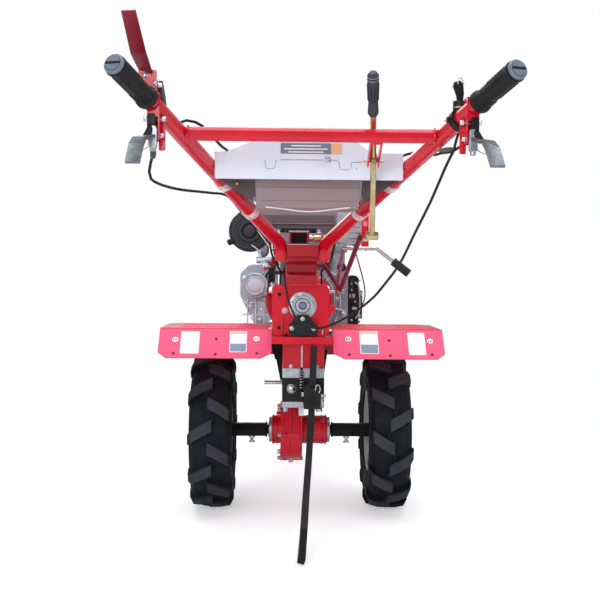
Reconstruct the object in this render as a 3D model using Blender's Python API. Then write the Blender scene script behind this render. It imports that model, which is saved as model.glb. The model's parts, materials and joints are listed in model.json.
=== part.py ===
"""Two-wheeled walking tractor (power tiller), parked on its wheels, its drag stake and its front stand.

The machine drives towards +y and stands on z = 0. Sizes are in metres. Places are measured from the
point on the ground under the wheel axle; the empty called machine then sets the middle of the whole
machine's length over the origin. Tables of shares give places and shapes as parts of a named length.
"""

import math

import bmesh
import bpy
from mathutils import Matrix, Vector

# Gap left between pieces that rest on each other, overrun of every cut, clearance round a turning shaft
SEAT = 0.0003
OVERRUN = 0.004
RUNNING_GAP = 0.0006

# Wheels
TYRE_RADIUS = 0.2075
TYRE_WIDTH = 0.110
WHEEL_MIDDLE = 0.2315
AXLE_HEIGHT = TYRE_RADIUS
LUG_DEPTH = 0.0145
LUGS_A_SIDE = 11
LUG_WIDTH = 0.031
LUG_SWEEP = 0.040
FIRST_LUG_DEGREES = 3.6
RIM_RADIUS = 0.1016
RIM_WIDTH = 0.084
RIM_WALL = 0.004
RIM_FLANGE = 0.010
DISC_PLACE = 0.0084
DISC_THICKNESS = 0.005
DISC_DISH = 0.014
HUB_RADIUS = 0.052
HUB_HOLE = 0.021
HUB_THICKNESS = 0.007
HUB_PLATE_RADIUS = 0.047
HAND_HOLES = 4
HAND_HOLE_RADIUS = 0.011
HAND_HOLE_PLACE = 0.074
TYRE_STEPS = 36
# Half section of the carcass from bead to crown: share of the half width, share of the way to the crown
CARCASS_SHARES = ((0.88, 0.03), (0.97, 0.30), (1.0, 0.55), (0.95, 0.78), (0.76, 0.93), (0.0, 1.0))
# Sections of a lug: share of the half width, share of the sweep, top below the ground line as a share of
# the lug's depth, and foot as a share of the way from bead to crown
LUG_SHARES = (
    (-0.10, 0.00, 0.00, 0.96),
    (0.45, 0.42, 0.03, 0.93),
    (0.86, 0.80, 0.30, 0.83),
    (1.02, 1.00, 1.45, 0.64),
)

# Axles
AXLE_ACROSS_FLATS = 0.034
AXLE_START = 0.086
AXLE_END = 0.262
STUB_RADIUS = 0.013
STUB_DEPTH = 0.016
LOCK_BOLT_PLACE = 0.128
LOCK_BOLT_RADIUS = 0.004
LOCK_BOLT_HEAD = 0.0075
LOCK_BOLT_DROP = 0.014

# Final drive case
BOSS_RADIUS = 0.038
BOSS_HALF = 0.074
CASE_RADIUS = 0.0795
CASE_LEFT = -0.051
CASE_RIGHT = 0.007
CASE_COVER = 0.009
CASE_COVER_LIP = 0.004
CASE_NECK_HALF = 0.046
CASE_NECK_RISE = 0.079
CASE_NECK_TOP = AXLE_HEIGHT + CASE_NECK_RISE
RING_RADIUS = 0.034
RING_THICKNESS = 0.0075

# Column between the two gear cases
COLUMN_LEFT = -0.0475
COLUMN_RIGHT = 0.060
COLUMN_REAR = -0.140
COLUMN_FRONT = 0.050
LOW_PLATE_HEIGHT = 0.0150
HITCH_HEIGHT = 0.0615
HIGH_PLATE_HEIGHT = 0.0245
PLATE_OVERHANG = 0.003
HITCH_PIN_RADIUS = 0.0045
HITCH_PIN_LENGTH = 0.046
HITCH_PIN_HEIGHT = 0.0465
HITCH_PIN_PLACE = 0.028
COLUMN_TOP = CASE_NECK_TOP + LOW_PLATE_HEIGHT + HITCH_HEIGHT + HIGH_PLATE_HEIGHT + 4 * SEAT
GUSSET_TOP_HALF = 0.086
GUSSET_LOW_HALF = 0.064
GUSSET_DROP = 0.080
GUSSET_THICKNESS = 0.026

# Drag stake and its clamp; the route's shares are of the stake's height, from the clamp's middle
STAKE_WIDTH = 0.016
STAKE_THICKNESS = 0.015
STAKE_HEIGHT = 0.452
CLAMP_WIDTH = 0.042
CLAMP_HEIGHT = 0.052
CLAMP_LENGTH = 0.052
CLAMP_X = 0.0265
CLAMP_REACH = 0.076
CLAMP_Y = COLUMN_REAR - CLAMP_REACH
CLAMP_RISE = 0.0112
CLAMP_LOW = CASE_NECK_TOP + CLAMP_RISE
# x, y and z share of each point of the bar's middle line, from its top down
STAKE_SHARES = (
    (0.008, 0.007, 1.000),
    (0.004, 0.007, 0.885),
    (0.000, 0.000, 0.730),
    (-0.006, -0.022, 0.575),
    (-0.019, -0.102, 0.398),
    (-0.037, -0.252, 0.232),
    (-0.054, -0.473, 0.100),
    (-0.072, -0.728, 0.0265),
)

# Main gear case
MAIN_LEFT = -0.075
MAIN_RIGHT = 0.069
NECK_HEIGHT = 0.0848
MAIN_LOW = COLUMN_TOP + NECK_HEIGHT
MAIN_HEIGHT = 0.1295
MAIN_HIGH = MAIN_LOW + MAIN_HEIGHT
MAIN_REAR = -0.170
MAIN_FRONT = 0.120
MAIN_CORNER = 0.012
COVER_SPLIT = -0.039
COVER_STEP = 0.004
COVER_CORNER = 0.0085
BELL_RADIUS = 0.096
BELL_LENGTH = 0.070
BELL_RIM = 0.012
BELL_START_SHARE = 0.6
BELL_END_SHARE = 0.92
SHAFT_RISE = 0.0775
SHAFT_HEIGHT = MAIN_LOW + SHAFT_RISE
NECK_LOW_REAR = -0.135

# Covers on the rear of the main gear case; bearing profile: depth share, radius share
BEARING_X = 0.002
BEARING_RADIUS = 0.034
BEARING_THICKNESS = 0.014
BEARING_SHARES = (
    (0.0, 1.0),
    (0.4, 1.0),
    (0.5, 0.78),
    (0.7, 0.72),
    (0.7, 0.43),
    (1.0, 0.43),
    (1.0, 0.28),
    (0.6, 0.24),
)
TAKEOFF_HALF = 0.035
TAKEOFF_RISE = 0.0025
TAKEOFF_HEIGHT = 0.052
TAKEOFF_THICKNESS = 0.024
TAKEOFF_CORNER = 0.010
# Half outline of the take-off cover: share of its half width, share of its height
TAKEOFF_SHARES = ((1.0, 0.0), (1.0, 0.5), (0.35, 1.0))

# Fenders
FENDER_INNER = 0.079
FENDER_INNER_STEP = 0.003
FENDER_OUTER = 0.359
FENDER_FOLD = -0.160
FENDER_LENGTH = 0.235
FENDER_RISE = 0.0177
FENDER_TOP = MAIN_LOW + FENDER_RISE
FENDER_SHEET = 0.002
FENDER_CHAMFER = 0.030
FENDER_LIP = 0.022
FENDER_LIP_FRONT = 0.012
# The sloping rear panel: how far it goes back and down, and its corners across and along the slope
PANEL_BACK = 0.062
PANEL_DROP = 0.070
PANEL_CORNER_OUT = 0.020
PANEL_CORNER_IN = 0.027
PANEL_CORNER_ALONG = 0.017
BAR_REAR = -0.198
BAR_FRONT = -0.140
BAR_DROP = 0.0185
BAR_HALF = 0.130

# Engine
BED_DROP = 0.146
BED_LOW = SHAFT_HEIGHT - BED_DROP
BED_HEIGHT = 0.022
RAIL_WIDTH = 0.036
RAIL_MIDDLE = 0.088
RAIL_REAR = COLUMN_FRONT + GUSSET_THICKNESS + 2 * SEAT
RAIL_LENGTH = 0.5634
RAIL_FRONT = RAIL_REAR + RAIL_LENGTH
CRANKCASE_LEFT = -0.118
CRANKCASE_RIGHT = 0.143
CRANKCASE_CORNER = 0.026
CRANKCASE_REAR = BELL_LENGTH + MAIN_FRONT
CRANKCASE_LENGTH = 0.270
CRANKCASE_RISE = 0.089
CRANKCASE_TOP = SHAFT_HEIGHT + CRANKCASE_RISE
LOBE_LENGTH = 0.110
LOBE_CORNER = 0.018
LOBE_SPAN = 0.100
# Outline of the timing case on the left, from its starter's middle: x share, z share of its span
LOBE_SHARES = (
    (-0.44, -0.30),
    (-0.44, 0.35),
    (-0.16, 0.60),
    (0.50, 0.60),
    (0.50, -1.30),
    (0.06, -1.30),
)
BARREL_HALF_X = 0.074
BARREL_HALF_Y = 0.066
BARREL_CORE_HALF_X = 0.059
BARREL_CORE_HALF_Y = 0.053
BARREL_PLACE = 0.120
BARREL_Y = CRANKCASE_REAR + BARREL_PLACE
FIN_THICKNESS = 0.0035
FIN_PITCH = 0.0105
FIN_COUNT = 7
HEAD_LOW = CRANKCASE_TOP + SEAT + FIN_PITCH * FIN_COUNT
HEAD_HEIGHT = 0.036
SHROUD_RADIUS = 0.150
SHROUD_THICKNESS = 0.075
SHROUD_EDGE = 0.0225
RECOIL_RADIUS = 0.098
RECOIL_THICKNESS = 0.040
RECOIL_EDGE = 0.016
RECOIL_SLOPE = 0.032
SIDE_PLATE_THICKNESS = 0.032
SIDE_PLATE_HEIGHT = 0.150
SIDE_PLATE_LENGTH = 0.110
SIDE_PLATE_CORNER = 0.014
SIDE_PLATE_PLACE = 0.012
FILLER_X = 0.113
FILLER_PLACE = 0.028
FILLER_RADIUS = 0.022
FILLER_HEIGHT = 0.072

# Tank, its saddle and its cap
TANK_HALF = 0.150
TANK_PLACE = 0.210
TANK_REAR = CRANKCASE_REAR + TANK_PLACE
TANK_LENGTH = 0.180
TANK_RISE = 0.105
TANK_LOW = CRANKCASE_TOP + TANK_RISE
TANK_HEIGHT = 0.080
TANK_CORNER = 0.030
TANK_ROUNDING = 0.014
# Levels of the tank: share of its height, and its inset there as a share of the rounding
TANK_SHARES = ((0.0, 0.5), (0.09, 0.0), (0.82, 0.0), (0.94, 0.33), (1.0, 1.0))
CAP_X = 0.060
CAP_RADIUS = 0.026
CAP_HEIGHT = 0.016
SADDLE_HALF = 0.060
SADDLE_SHEET = 0.004
SADDLE_FOOT = 0.045
SADDLE_STEP = 0.006
SADDLE_REACH = 0.070

# Air cleaner, muffler and starter; the cleaner's profile: depth share, radius share
CLEANER_X = -0.144
CLEANER_RISE = 0.112
CLEANER_HEIGHT = CRANKCASE_TOP + CLEANER_RISE
CLEANER_RADIUS = 0.060
CLEANER_REAR = CRANKCASE_REAR - 0.005
CLEANER_LENGTH = 0.110
CLEANER_SHARES = (
    (0.06, 0.33),
    (0.0, 0.40),
    (0.0, 0.52),
    (0.05, 0.58),
    (0.05, 0.86),
    (0.10, 0.98),
    (0.24, 1.0),
    (0.24, 0.95),
    (1.0, 0.95),
)
INTAKE_RADIUS = 0.012
INTAKE_RISE = 0.022
INTAKE_PLACE = 0.080
MUFFLER_LEFT = 0.112
MUFFLER_RIGHT = 0.203
MUFFLER_PLACE = 0.040
MUFFLER_REAR = CRANKCASE_REAR + MUFFLER_PLACE
MUFFLER_LENGTH = 0.120
MUFFLER_RISE = 0.077
MUFFLER_LOW = CRANKCASE_TOP + MUFFLER_RISE
MUFFLER_HEIGHT = 0.130
MUFFLER_CORNER = 0.020
GUARD_SHEET = 0.002
GUARD_WIDTH = 0.021
GUARD_LENGTH = 0.105
GUARD_DROP = 0.017
STARTER_X = -0.126
STARTER_RISE = 0.044
STARTER_RADIUS = 0.0355
STARTER_LENGTH = 0.070
STARTER_EDGE = 0.006
STARTER_FACE = 0.0285

# Bumper and front stand
BUMPER_RADIUS = 0.0135
BUMPER_HALF = 0.150
BUMPER_REACH = 0.140
BUMPER_FRONT = RAIL_FRONT + BUMPER_REACH
BUMPER_STRAIGHT = 0.050
BUMPER_RISE = 0.155
BUMPER_BEND = 0.020
STAND_WIDTH = 0.040
STAND_THICKNESS = 0.008
STAND_PLACE = 0.030
STAND_PIVOT_Y = RAIL_FRONT - STAND_PLACE
STAND_PIVOT_DROP = 0.025
STAND_PIVOT_HEIGHT = BED_LOW - STAND_PIVOT_DROP
STAND_LEAN = 0.040
STAND_FOOT_WIDTH = 0.056
STAND_FOOT_LENGTH = 0.060
STAND_FOOT_THICKNESS = 0.005
STAND_EYE_RADIUS = 0.013
STAND_PIN_RADIUS = 0.006
STAND_CHEEK = 0.005
STAND_CHEEK_GAP = 0.0008
STAND_CHEEK_LENGTH = 0.020
STAND_CHEEK_DROP = 0.018
STAND_BEAM_LENGTH = 0.030

# Steering frame: its post and head, then places in shares of the handles' reach, x outwards from the
# middle, y rearwards from the axle and z upwards from the post's top
TUBE_RADIUS = 0.016
POST_HALF = 0.0382
POST_HEIGHT = 0.094
POST_TOP = MAIN_HIGH + POST_HEIGHT
POST_REAR = -0.190
POST_FRONT = -0.060
POST_FOOT = 0.024
POST_HOLLOW_SLOPE = 0.008
POST_HOLLOW_HEIGHT = 0.020
POST_HOLLOW_DEPTH = 0.035
HEAD_PLATE_HEIGHT = 0.028
HEAD_PLATE_THICKNESS = 0.006
HANDLE_REACH = 1.000
TUBE_FOOT_X = POST_HALF + TUBE_RADIUS + SEAT
FOOT_SET = 0.006
FOOT_DROP = 0.031
KNEE_PAST = 0.006
KNEE_RISE = 0.007
BEND_SHARES = (0.275, 0.840, 0.228)
END_SHARES = (0.335, 1.000, 0.283)
# Place of the cross bar on the straight part of each tube, from knee to bend
CROSS_SHARE = 0.885
TUBE_BEND_RADIUS = 0.09
TUBE_KNEE_RADIUS = 0.03
CROSS_RADIUS = 0.0135
GRIP_RADIUS = 0.0185
GRIP_LENGTH = 0.120
GRIP_END = 0.006
GRIP_CAP_SHARE = 0.75
# Grip profile: length share, radius share
GRIP_SHARES = ((0.0, 1.0), (0.92, 0.95), (0.94, 1.15), (1.0, 1.15))
LOCK_FRAME_LEFT = -0.034
LOCK_FRAME_RIGHT = 0.016
LOCK_FRAME_HEIGHT = 0.036
LOCK_FRAME_DEPTH = 0.030
LOCK_FRAME_SHEET = 0.005
LOCK_KNOB_RADIUS = 0.009
LOCK_KNOB_LENGTH = 0.030
LOCK_KNOB_SHARES = ((0.0, 0.6), (0.4, 0.6), (0.45, 1.0), (1.0, 1.0))

# Console between the handle tubes; its section at the rear: x share of the handles' reach, 1 on the hump
CONSOLE_SHEET = 0.0025
CONSOLE_REAR = 0.650
CONSOLE_FRONT = 0.410
CONSOLE_NARROWING_SHARE = 0.78
CONSOLE_LIP = 0.050
CONSOLE_LIP_HALF = 0.1905
HUMP_HEIGHT = 0.030
CONSOLE_SHARES = ((-0.1925, 0), (-0.1676, 0), (-0.0956, 1), (0.0856, 1), (0.1255, 0), (0.1925, 0))
BIN_REAR = 0.600
BIN_FRONT = 0.460
BIN_HALF_TOP = 0.1155
BIN_HALF_LOW = 0.106
BIN_LOW_RISE = 0.074
BIN_X = -0.0015

# Gear lever, its fork and its link, in shares of the handles' reach
LEVER_ROD_RADIUS = 0.006
SHIFT_TOP_SHARES = (0.1170, 0.7728, 0.2409)
SHIFT_PIVOT_SHARES = (0.1258, 0.6958, 0.1617)
SHIFT_LOW_SHARES = (0.1381, 0.5577, 0.0193)
LINK_TOP_SHARES = (0.1115, 0.5600, 0.0120)
LINK_LOW_SHARES = (0.0940, 0.2200, -0.1035)
LINK_FOOT_SHARES = (0.0560, 0.1550, -0.0420)
LINK_RADIUS = 0.0055
LINK_OVERSHOOT = 0.009
KNOB_RADIUS = 0.0112
KNOB_LENGTH = 0.094
# Knob profile: length share, radius share
KNOB_SHARES = ((0.0, 0.75), (0.06, 0.95), (0.30, 0.84), (0.75, 1.0), (0.94, 0.95), (1.0, 0.6))
FORK_SHEET = 0.003
FORK_INSIDE = 0.0089
FORK_HEIGHT = 0.016
FORK_OVERSHOOT = 0.010
FORK_BRIDGE = 0.006
PIVOT_PIN_RADIUS = 0.0025
PIVOT_PIN_LEFT = 0.0205
PIVOT_PIN_RIGHT = 0.0200

# Range lever from the case to its grip: x, y and z shares of the handles' reach
RANGE_HEIGHT_DROP = 0.018
RANGE_SHARES = (
    (0.0890, 0.140, -0.112),
    (0.0950, 0.300, -0.003),
    (0.1740, 0.310, -0.003),
    (0.2120, 0.320, -0.033),
)
RANGE_Y = -0.140
RANGE_GUIDE = Vector((0.3, 1.0, 0.0))
RANGE_RADIUS = 0.0045
RANGE_GRIP_LENGTH = 0.048
RANGE_GRIP_RADIUS = 0.010

# Hand controls beside the grips
CONTROL_PLACE = 0.148
HANGER_HALF_X = 0.011
HANGER_HALF_Y = 0.018
HANGER_DROP = 0.062
HANGER_RISE = 0.020
HANGER_SHEET = 0.0025
HANGER_SLOT_TOP = 0.022
PERCH_HALF_X = 0.011
PERCH_HALF_Y = 0.012
PERCH_RISE = 0.044
PERCH_SLOT_LOW = 0.021
PERCH_SHIFT = 0.005
PERCH_SLOT_HALF = 0.0065
HAND_LEVER_SHEET = 0.005
HANGER_PIVOT_DROP = 0.0537
# Hand lever from its pivot: outward, rearward and upward share of its reach, and its width share
HAND_LEVER_REACH = 0.132
HAND_BLADE_WIDTH = 0.026
HAND_LEVER_SHARES = (
    (0.000, 0.000, 0.000, 0.42),
    (0.000, 0.174, -0.023, 0.46),
    (0.079, 0.288, -0.046, 0.72),
    (0.132, 0.470, -0.091, 0.95),
    (0.147, 0.674, -0.205, 1.00),
    (0.147, 1.000, -0.470, 0.95),
)
# Clutch lever from its foot in the perch, in shares of its own reach; its pin lies above the foot
CLUTCH_REACH = 0.102
CLUTCH_WIDTH = 0.028
CLUTCH_SHEET = 0.003
CLUTCH_FOOT_RISE = 0.0263
CLUTCH_PIN_RISE = 0.011
CLUTCH_SHARES = (
    (0.000, 0.000, 0.000, 0.38),
    (0.009, 0.020, 0.216, 0.40),
    (0.092, 0.137, 0.333, 0.86),
    (0.161, 0.510, 0.544, 1.00),
    (0.259, 1.000, 1.137, 0.90),
)
THROTTLE_PLACE = 0.190
THROTTLE_RING = 0.021
THROTTLE_HALF = 0.007
THROTTLE_DIAL_RADIUS = 0.013
THROTTLE_DIAL_HEIGHT = 0.034
THROTTLE_SHEET = 0.006
# Thumb lever from the dial: outward, rearward and upward share of its length, and its width share
THUMB_LENGTH = 0.040
THUMB_WIDTH = 0.019
THUMB_SHARES = (
    (0.0, 0.0, 0.0, 0.45),
    (-0.03, 0.10, 0.45, 0.75),
    (-0.15, 0.25, 0.85, 1.0),
    (-0.20, 0.30, 1.0, 0.6),
)

# Control cables, in shares of the handles' reach like the handles, from the hand to the machine; each
# starts and ends on the piece that holds it
CABLE_RADIUS = 0.0028
CABLE_STEP = 0.0175
CABLE_APPROACH = 0.022
CABLE_LANDING = 0.017
CABLE_INSET = 0.0084
THROTTLE_CABLE_SHARES = (
    (0.2750, 0.782, 0.1960),
    (0.2715, 0.772, 0.1745),
    (0.2600, 0.765, 0.1500),
    (0.2373, 0.720, 0.0825),
    (0.2179, 0.650, 0.0243),
    (0.1975, 0.570, -0.0383),
    (0.1736, 0.500, -0.0839),
    (0.1464, 0.440, -0.1231),
    (0.0958, 0.360, -0.1677),
    (0.0401, 0.300, -0.1948),
    (-0.0069, 0.260, -0.1827),
    (-0.0310, 0.235, -0.1422),
    (-0.0430, 0.207, -0.0883),
    (-0.0460, 0.170, -0.0500),
    (-0.0440, 0.100, -0.0400),
    (-0.0400, 0.000, -0.0390),
    (-0.0560, -0.085, -0.0390),
    (-0.0850, -0.140, -0.0600),
)
LEFT_CABLE_SHARES = (
    (-0.2925, 0.822, 0.1600),
    (-0.2985, 0.828, 0.1330),
    (-0.2985, 0.825, 0.1130),
    (-0.2854, 0.780, 0.1049),
    (-0.2554, 0.700, 0.1017),
    (-0.2056, 0.560, 0.1065),
    (-0.1745, 0.480, 0.1064),
    (-0.1460, 0.395, 0.0770),
    (-0.1120, 0.295, 0.0427),
    (-0.0840, 0.215, 0.0130),
    (-0.0760, 0.175, -0.0200),
)
CLUTCH_CABLE_SHARES = (
    (-0.2765, 0.805, 0.2450),
    (-0.2561, 0.760, 0.2243),
    (-0.2373, 0.750, 0.2300),
    (-0.2155, 0.740, 0.2250),
    (-0.1984, 0.710, 0.2120),
    (-0.1780, 0.665, 0.1930),
    (-0.1613, 0.625, 0.1829),
    (-0.1560, 0.580, 0.1650),
    (-0.1420, 0.500, 0.1390),
    (-0.1300, 0.420, 0.1130),
    (-0.1090, 0.330, 0.0800),
    (-0.0800, 0.220, 0.0480),
    (-0.0700, 0.110, -0.0150),
)
RIGHT_CABLE_SHARES = (
    (0.2645, 0.800, 0.171),
    (0.2536, 0.740, 0.1743),
    (0.2480, 0.690, 0.1767),
    (0.2325, 0.625, 0.1866),
    (0.2118, 0.600, 0.1900),
    (0.1850, 0.580, 0.1780),
    (0.1600, 0.530, 0.1550),
    (0.1400, 0.440, 0.1200),
    (0.1200, 0.340, 0.0780),
    (0.0850, 0.220, 0.0250),
    (0.0740, 0.140, -0.0300),
)
CABLE_END_X = 0.055
LEFT_CABLE_END_Y = -0.118
CLUTCH_CABLE_END_Y = 0.000
RIGHT_CABLE_END_Y = -0.045
THROTTLE_CABLE_END_X = -0.095
THROTTLE_CABLE_END_DROP = 0.018

REAR_REACH = HANDLE_REACH + GRIP_END
FRONT_REACH = BUMPER_FRONT + BUMPER_RADIUS
AXLE_OFFSET = (REAR_REACH - FRONT_REACH) / 2

X = Vector((1.0, 0.0, 0.0))
Y = Vector((0.0, 1.0, 0.0))
Z = Vector((0.0, 0.0, 1.0))
SIDES = (("left", -1), ("right", 1))
KNEE = Vector((TUBE_FOOT_X, POST_REAR - KNEE_PAST, POST_TOP + KNEE_RISE))

for old in list(bpy.data.objects):
    bpy.data.objects.remove(old)

machine = bpy.data.objects.new("machine", None)
machine.location = (0, AXLE_OFFSET, 0)
bpy.context.scene.collection.objects.link(machine)

# Finishes: name, colour, roughness, metallic
FINISHES = {
    "red_paint": ((0.62, 0.012, 0.02, 1), 0.28, 0.0),
    "black_paint": ((0.012, 0.013, 0.015, 1), 0.45, 0.0),
    "tyre_rubber": ((0.018, 0.019, 0.023, 1), 0.85, 0.0),
    "grip_rubber": ((0.015, 0.015, 0.016, 1), 0.6, 0.0),
    "black_plastic": ((0.02, 0.02, 0.022, 1), 0.5, 0.0),
    "bare_alloy": ((0.62, 0.63, 0.65, 1), 0.38, 1.0),
    "zinc": ((0.55, 0.56, 0.58, 1), 0.35, 1.0),
    "yellow_zinc": ((0.65, 0.50, 0.22, 1), 0.35, 1.0),
    "grey_paint": ((0.30, 0.28, 0.29, 1), 0.4, 0.0),
    "rim_silver": ((0.60, 0.60, 0.60, 1), 0.4, 0.6),
    "pale_sheet": ((0.62, 0.61, 0.62, 1), 0.5, 0.0),
    "bin_sheet": ((0.25, 0.22, 0.22, 1), 0.5, 0.0),
    "muffler_steel": ((0.55, 0.53, 0.52, 1), 0.5, 0.8),
}


def finish(key):
    """A new material of the named finish."""
    colour, roughness, metallic = FINISHES[key]
    made = bpy.data.materials.new(key)
    made.use_nodes = True
    shader = made.node_tree.nodes["Principled BSDF"]
    shader.inputs["Base Color"].default_value = colour
    shader.inputs["Roughness"].default_value = roughness
    shader.inputs["Metallic"].default_value = metallic
    return made


def place(name, bm):
    """Turn a bmesh into an object under the machine's empty, with its faces turned out."""
    bmesh.ops.remove_doubles(bm, verts=bm.verts, dist=1e-6)
    bmesh.ops.recalc_face_normals(bm, faces=bm.faces)
    mesh = bpy.data.meshes.new(name)
    bm.to_mesh(mesh)
    bm.free()
    made = bpy.data.objects.new(name, mesh)
    bpy.context.scene.collection.objects.link(made)
    made.parent = machine
    return made


def node(obj, key, smooth_angle=35, origin=None):
    """Give a finished sub-part its material, its shading and the origin of its joint."""
    obj.data.materials.clear()
    obj.data.materials.append(finish(key))
    if smooth_angle:
        obj.data.shade_smooth()
        obj.data.set_sharp_from_angle(angle=math.radians(smooth_angle))
    if origin:
        obj.data.transform(Matrix.Translation(-origin))
        obj.location = origin
    return obj


def loft(name, rings, closed=False):
    """Bridge rings of equally many points; the ends are capped, or the last ring meets the first."""
    bm = bmesh.new()
    loops = [[bm.verts.new(point) for point in ring] for ring in rings]
    count = len(rings[0])
    pairs = list(zip(loops, loops[1:]))
    if closed:
        pairs.append((loops[-1], loops[0]))
    else:
        bm.faces.new(reversed(loops[0]))
        bm.faces.new(loops[-1])
    for one, two in pairs:
        for index in range(count):
            after = (index + 1) % count
            bm.faces.new((one[index], one[after], two[after], two[index]))
    return place(name, bm)


def prism(name, outline, axis, low, high):
    """Extrude an outline given in the two directions other than the axis, in x, y, z order."""
    first, second = {"x": (Y, Z), "y": (X, Z), "z": (X, Y)}[axis]
    along = {"x": X, "y": Y, "z": Z}[axis]
    rings = [[first * a + second * b + along * level for a, b in outline] for level in (low, high)]
    return loft(name, rings)


def box(name, low, high):
    """A box between two corners."""
    outline = [(low[0], low[1]), (high[0], low[1]), (high[0], high[1]), (low[0], high[1])]
    return prism(name, outline, "z", low[2], high[2])


def circle(centre, radius, across, up, count, start=0.0):
    """Points of a circle in the plane of two unit vectors."""
    turns = [start + 2 * math.pi * step / count for step in range(count)]
    return [centre + across * radius * math.cos(turn) + up * radius * math.sin(turn) for turn in turns]


def cross_frame(direction):
    """Two unit vectors square to a direction, the second as near to upright as it can be."""
    guide = Y if abs(direction.normalized().z) > 0.9 else Z
    across = direction.cross(guide).normalized()
    return across, across.cross(direction).normalized()


def turned(name, profile, centre, direction, count, closed=False):
    """Turn a profile of (distance along the axis, radius) pairs about an axis."""
    across, up = cross_frame(direction)
    rings = [circle(centre + direction * along, radius, across, up, count) for along, radius in profile]
    return loft(name, rings, closed)


def rod(name, start, end, radius, count=12, turn=0.0):
    """A straight round bar, or with few sides a hexagonal one."""
    across, up = cross_frame(end - start)
    return loft(name, [circle(point, radius, across, up, count, turn) for point in (start, end)])


def sweep(name, path, section, guide):
    """Carry one flat section, or one for each point, along a path, its second direction near the guide."""
    rings = []
    for index, point in enumerate(path):
        before = path[max(index - 1, 0)]
        after = path[min(index + 1, len(path) - 1)]
        one = (point - before).normalized() if index else (after - point).normalized()
        two = (after - point).normalized() if index < len(path) - 1 else one
        along = (one + two).normalized()
        across = along.cross(guide).normalized()
        up = across.cross(along).normalized()
        stretch = 1 / max(one.dot(along), 0.5)
        bend = (two - one).normalized() if (two - one).length > 1e-6 else Vector()
        ring = []
        for a, b in section if isinstance(section[0], tuple) else section[index]:
            offset = across * a + up * b
            ring.append(point + offset + bend * offset.dot(bend) * (stretch - 1))
        rings.append(ring)
    return loft(name, rings)


def round_section(radius, count):
    """A circle as (across, up) pairs."""
    turns = [2 * math.pi * (step + 0.5) / count for step in range(count)]
    return [(radius * math.cos(turn), radius * math.sin(turn)) for turn in turns]


def flat_section(width, height):
    """A rectangle as (across, up) pairs."""
    a = width / 2
    b = height / 2
    return [(-a, -b), (a, -b), (a, b), (-a, b)]


def rounded(outline, radius, steps=3):
    """Round every corner of an outline of (a, b) pairs."""
    points = [Vector(pair) for pair in outline]
    smooth = []
    for index, corner in enumerate(points):
        back = (points[index - 1] - corner).normalized()
        ahead = (points[(index + 1) % len(points)] - corner).normalized()
        half = back.angle(ahead) / 2
        reach = radius / math.tan(half)
        centre = corner + (back + ahead).normalized() * radius / math.sin(half)
        first = corner + back * reach - centre
        last = corner + ahead * reach - centre
        for step in range(steps + 1):
            share = step / steps
            spoke = first.slerp(last, share) if first.angle(last) > 1e-4 else first
            smooth.append(tuple(centre + spoke.normalized() * radius))
    return smooth


def bend_path(points, radius, steps=5):
    """Round the inner corners of a path in space."""
    smooth = [points[0]]
    for before, corner, after in zip(points, points[1:], points[2:]):
        back = (before - corner).normalized()
        ahead = (after - corner).normalized()
        half = back.angle(ahead) / 2
        reach = radius / math.tan(half)
        centre = corner + (back + ahead).normalized() * radius / math.sin(half)
        first = corner + back * reach - centre
        last = corner + ahead * reach - centre
        for step in range(steps + 1):
            smooth.append(centre + first.slerp(last, step / steps).normalized() * radius)
    smooth.append(points[-1])
    return smooth


def shape(base, tool, operation):
    """Join a tool to the base, cut it out, or keep what they share; the tool is used up."""
    change = base.modifiers.new(operation.title(), "BOOLEAN")
    change.operation = operation
    change.solver = "EXACT"
    change.object = tool
    with bpy.context.temp_override(object=base, active_object=base):
        bpy.ops.object.modifier_apply(modifier=change.name)
    bpy.data.objects.remove(tool)
    return base


def join(base, *tools):
    for tool in tools:
        shape(base, tool, "UNION")
    return base


def cut(base, *tools):
    for tool in tools:
        shape(base, tool, "DIFFERENCE")
    return base


def mirrored(point, side):
    """A point of the right-hand side, or its mirror image on the left."""
    return Vector((point[0] * side, point[1], point[2]))


def at_handle(shares, side=1):
    """A place on the handles, given by the shares of their reach."""
    out, back, rise = shares[:3]
    return Vector((out * side, -back, rise)) * HANDLE_REACH + Z * POST_TOP


def smooth_route(points, step):
    """Even steps along a smooth curve through the points."""
    padded = [2 * points[0] - points[1]] + points + [2 * points[-1] - points[-2]]
    fine = []
    for before, start, end, after in zip(padded, padded[1:], padded[2:], padded[3:]):
        for part in range(20):
            t = part / 20
            bend = 2 * before - 5 * start + 4 * end - after
            twist = 3 * start - before - 3 * end + after
            fine.append((2 * start + (end - before) * t + bend * t * t + twist * t * t * t) / 2)
    fine.append(points[-1])
    length = sum((two - one).length for one, two in zip(fine, fine[1:]))
    count = max(round(length / step), 2)
    route = [fine[0]]
    walked = 0.0
    for one, two in zip(fine, fine[1:]):
        reach = (two - one).length
        while len(route) < count and walked + reach >= length * len(route) / count:
            route.append(one.lerp(two, (length * len(route) / count - walked) / reach))
        walked += reach
    return route + [fine[-1]]


def cable(name, points):
    """A control cable: a round tube along a smooth route."""
    route = smooth_route(points, CABLE_STEP)
    curve = bpy.data.curves.new(name, "CURVE")
    curve.dimensions = "3D"
    curve.bevel_depth = CABLE_RADIUS
    curve.bevel_resolution = 2
    curve.use_fill_caps = True
    curve.render_resolution_u = 0
    spline = curve.splines.new("POLY")
    spline.points.add(len(route) - 1)
    for knot, point in zip(spline.points, route):
        knot.co = (*point, 1)
    made = bpy.data.objects.new(name, curve)
    bpy.context.scene.collection.objects.link(made)
    made.parent = machine
    curve.materials.append(finish("black_plastic"))
    return made


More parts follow.
